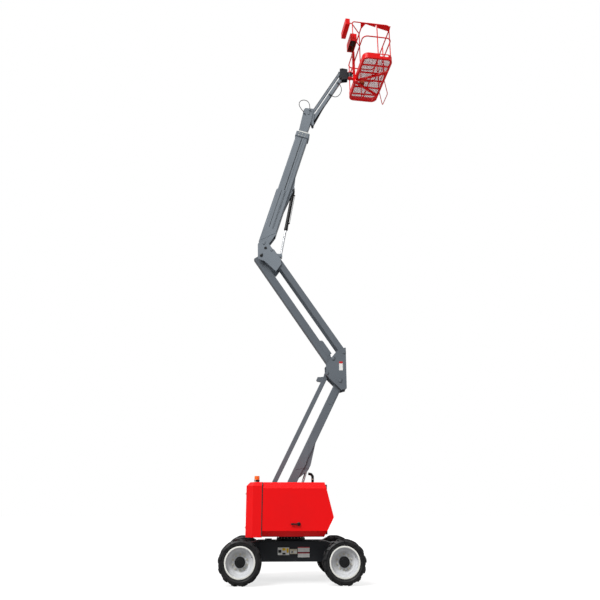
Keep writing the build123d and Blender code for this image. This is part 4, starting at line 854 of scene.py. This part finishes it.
def console_controls():
    """What stands on the control box's sloped top: levers, a stop button and rocker switches."""
    def levers(shape):
        for y in (-0.44, -0.23):
            turn(shape, [(0.030, 1.066), (0.026, 1.078), (0.014, 1.090), (0.010, 1.110)],
                 (0.015, y, 0), (0, 0, 1), 20)
            turn(shape, [(0.008, 1.100), (0.008, 1.150), (0.018, 1.158), (0.020, 1.185), (0.012, 1.198)],
                 (0.015, y, 0), (0, 0, 1), 20)
        for k in range(5):
            y = -0.40 + k * 0.05
            block(shape, (-0.045, y - 0.012, 1.030), (-0.010, y + 0.012, 1.078))

    platform_piece("control_levers", levers, ["black_paint"], bevel=0.002)

    def stop(shape):
        turn(shape, [(0.020, 1.050), (0.020, 1.090), (0.032, 1.094), (0.032, 1.108), (0.022, 1.116)],
             (0.020, -0.335, 0), (0, 0, 1), 28)

    platform_piece("stop_button", stop, ["red_paint"], smooth=True)

    # black blocks inside the open control box: painted shade standing for its dark inside
    def inner_shade_blocks(shape):
        block(shape, (-0.080, -0.535, 0.870), (-0.066, -0.115, 0.990))
        block(shape, (-0.030, -0.520, 0.860), (0.010, -0.330, 0.965))

    platform_piece("control_box_inner_shade", inner_shade_blocks, ["hose_rubber"], bevel=0.003)

    def boards(shape):
        for x in (-0.055, 0.030, 0.060):
            block(shape, (x, -0.530, 0.855), (x + 0.004, -0.125, 1.000))

    platform_piece("control_boards", boards, ["board_resin"])


MAST_BOLTS_Y = (-0.026, 0.026)
MAST_BOLTS_UP = (0.06, 0.16, 0.80, 0.90)


def platform_trim():
    """Bolts of the platform's mast."""
    def bolts(shape):
        for y in MAST_BOLTS_Y:
            for h in MAST_BOLTS_UP:
                nut(shape, (0.085, y, h), (-1, 0, 0), 0.022, 0.014)

    platform_piece("mast_bolts", bolts, ["steel"])


# =================================================================================================
# Hoses
# =================================================================================================
HOSE_D = 0.018
HEAD_HOSE_Y = -0.116
HEAD_HOSE = ((3.978, 0.118), (4.060, 0.225), (4.165, 0.315), (4.290, 0.320), (4.362, 0.225), (4.345, 0.105),
             (4.240, 0.030), (4.120, -0.005))
JIB_HOSE_Y = -0.078
JIB_HOSE = ((0.963, 0.0), (0.928, -0.110), (1.000, -0.215), (1.130, -0.235), (1.260, -0.205),
            (1.365, -0.115), (1.410, 0.0))
LINK_HOSE = ((0.090, 0.042), (1.480, 0.042))


def hose(name, points, body):
    """A rubber hose on a smooth line through its route's points."""
    curve = bpy.data.curves.new(name, "CURVE")
    curve.dimensions = "3D"
    curve.bevel_depth = HOSE_D / 2
    curve.bevel_resolution = 4
    curve.resolution_u = 10
    curve.use_fill_caps = True
    line = curve.splines.new("NURBS")
    line.points.add(len(points) - 1)
    for spot, place in zip(line.points, points):
        spot.co = (*place, 1.0)
    line.order_u = 3
    line.use_endpoint_u = True
    thing = bpy.data.objects.new(name, curve)
    bpy.context.scene.collection.objects.link(thing)
    curve.materials.append(FINISHES["hose_rubber"])
    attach(thing, body)
    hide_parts(name.replace("_run", ""))


def hoses():
    """The hose over the boom's head, the loop under the jib and the run along its upper link."""
    boom, jib, link = JOINT_AT["luff"], JOINT_AT["jib_lift"], JOINT_AT["jib_link_turn"]
    hose("head_hose_run", [arm_at(boom, BOOM_ANGLE, along, off, HEAD_HOSE_Y) for along, off in HEAD_HOSE],
         "boom_tip")
    hose("jib_hose_run", [arm_at(jib, JIB_ANGLE, along, off, JIB_HOSE_Y) for along, off in JIB_HOSE],
         "jib")
    hose("link_hose_run", [arm_at(link, JIB_ANGLE, along, off) for along, off in LINK_HOSE],
         "jib_top_link")


# =================================================================================================
# Floor, light and camera
# =================================================================================================
FLOOR_HALF = 120
FLOOR_GLOW = 0.74
SKY_LOW = 0.34
SKY_HIGH = 0.85
KEY_STRENGTH = 2.6
KEY_SPREAD = 30
KEY_TILT = 44
KEY_TURN = -38


def studio():
    """A pale floor without an edge, a sky that is brighter overhead and one soft key light."""
    mesh = bpy.data.meshes.new("studio_floor")
    corners = [(-FLOOR_HALF, -FLOOR_HALF, 0), (FLOOR_HALF, -FLOOR_HALF, 0), (FLOOR_HALF, FLOOR_HALF, 0),
               (-FLOOR_HALF, FLOOR_HALF, 0)]
    mesh.from_pydata(corners, [], [(0, 1, 2, 3)])
    floor = bpy.data.objects.new("studio_floor", mesh)
    bpy.context.scene.collection.objects.link(floor)
    paint = bpy.data.materials.new("matt white studio floor")
    paint.use_nodes = True
    tree = paint.node_tree
    tree.nodes.clear()
    matt = add_node(tree, "ShaderNodeBsdfDiffuse", {"Color": linear("#9A9A9A")})
    glow = add_node(tree, "ShaderNodeEmission", {"Color": linear("#FFFFFF"), "Strength": FLOOR_GLOW})
    rays = add_node(tree, "ShaderNodeLightPath")
    only = add_node(tree, "ShaderNodeMixShader", {0: rays.outputs["Is Camera Ray"], 2: glow.outputs[0]})
    both = add_node(tree, "ShaderNodeAddShader", {0: matt.outputs[0], 1: only.outputs[0]})
    add_node(tree, "ShaderNodeOutputMaterial", {"Surface": both.outputs[0]})
    mesh.materials.append(paint)

    world = bpy.data.worlds.new("studio sky")
    bpy.context.scene.world = world
    world.use_nodes = True
    tree = world.node_tree
    tree.nodes.clear()
    rays = add_node(tree, "ShaderNodeLightPath")
    seen = add_node(tree, "ShaderNodeMath",
                    {0: rays.outputs["Is Camera Ray"], 1: rays.outputs["Is Transmission Ray"]},
                    operation="MAXIMUM")
    way = add_node(tree, "ShaderNodeSeparateXYZ",
                   {"Vector": add_node(tree, "ShaderNodeTexCoord").outputs["Generated"]})
    height = add_node(tree, "ShaderNodeMapRange",
                      {"Value": way.outputs["Z"], "From Min": 0.0, "From Max": 1.0, "To Min": SKY_LOW,
                       "To Max": SKY_HIGH})
    lit = add_node(tree, "ShaderNodeBackground", {"Color": linear("#FFFFFF"), "Strength": height.outputs[0]})
    white = add_node(tree, "ShaderNodeBackground", {"Color": linear("#FFFFFF"), "Strength": 1.0})
    mixed = add_node(tree, "ShaderNodeMixShader",
                     {0: seen.outputs[0], 1: lit.outputs[0], 2: white.outputs[0]})
    add_node(tree, "ShaderNodeOutputWorld", {"Surface": mixed.outputs[0]})

    key = bpy.data.lights.new("key", "SUN")
    key.energy = KEY_STRENGTH
    key.angle = math.radians(KEY_SPREAD)
    lamp = bpy.data.objects.new("key", key)
    lamp.rotation_euler = (math.radians(KEY_TILT), 0, math.radians(KEY_TURN))
    bpy.context.scene.collection.objects.link(lamp)


def camera():
    """The camera at the standing place beside the machine."""
    lens = bpy.data.cameras.new("camera")
    lens.lens = LENS_MM
    lens.sensor_width = 36
    lens.clip_end = 500
    eye = bpy.data.objects.new("camera", lens)
    eye.location = CAMERA_AT
    eye.rotation_euler = (math.radians(90 + CAMERA_PITCH), 0, -math.radians(CAMERA_TURN))
    bpy.context.scene.collection.objects.link(eye)
    bpy.context.scene.camera = eye


# =================================================================================================
camera()
hoses()
dress_parts()
for wheel, (middle, side) in WHEELS.items():
    wheel_hardware(wheel, middle, side)
for hood, body, side in (("hood_left", "cover_left", 1), ("hood_right", "cover_right", -1)):
    cover_handle(hood, body, side)
    cover_hinges(hood, body, side)
beacon_trim()
exhaust_trim()
tail_trim()
tail_seam_shade()
chassis_plates()
chassis_hardware()
pin_caps()
knuckle_label()
collar_screws()
boom_rails()
riser_plates()
cylinder_lines()
knuckle_plugs()
floor_mesh()
console_controls()
platform_trim()
studio()
bpy.context.scene.view_settings.view_transform = "Standard"
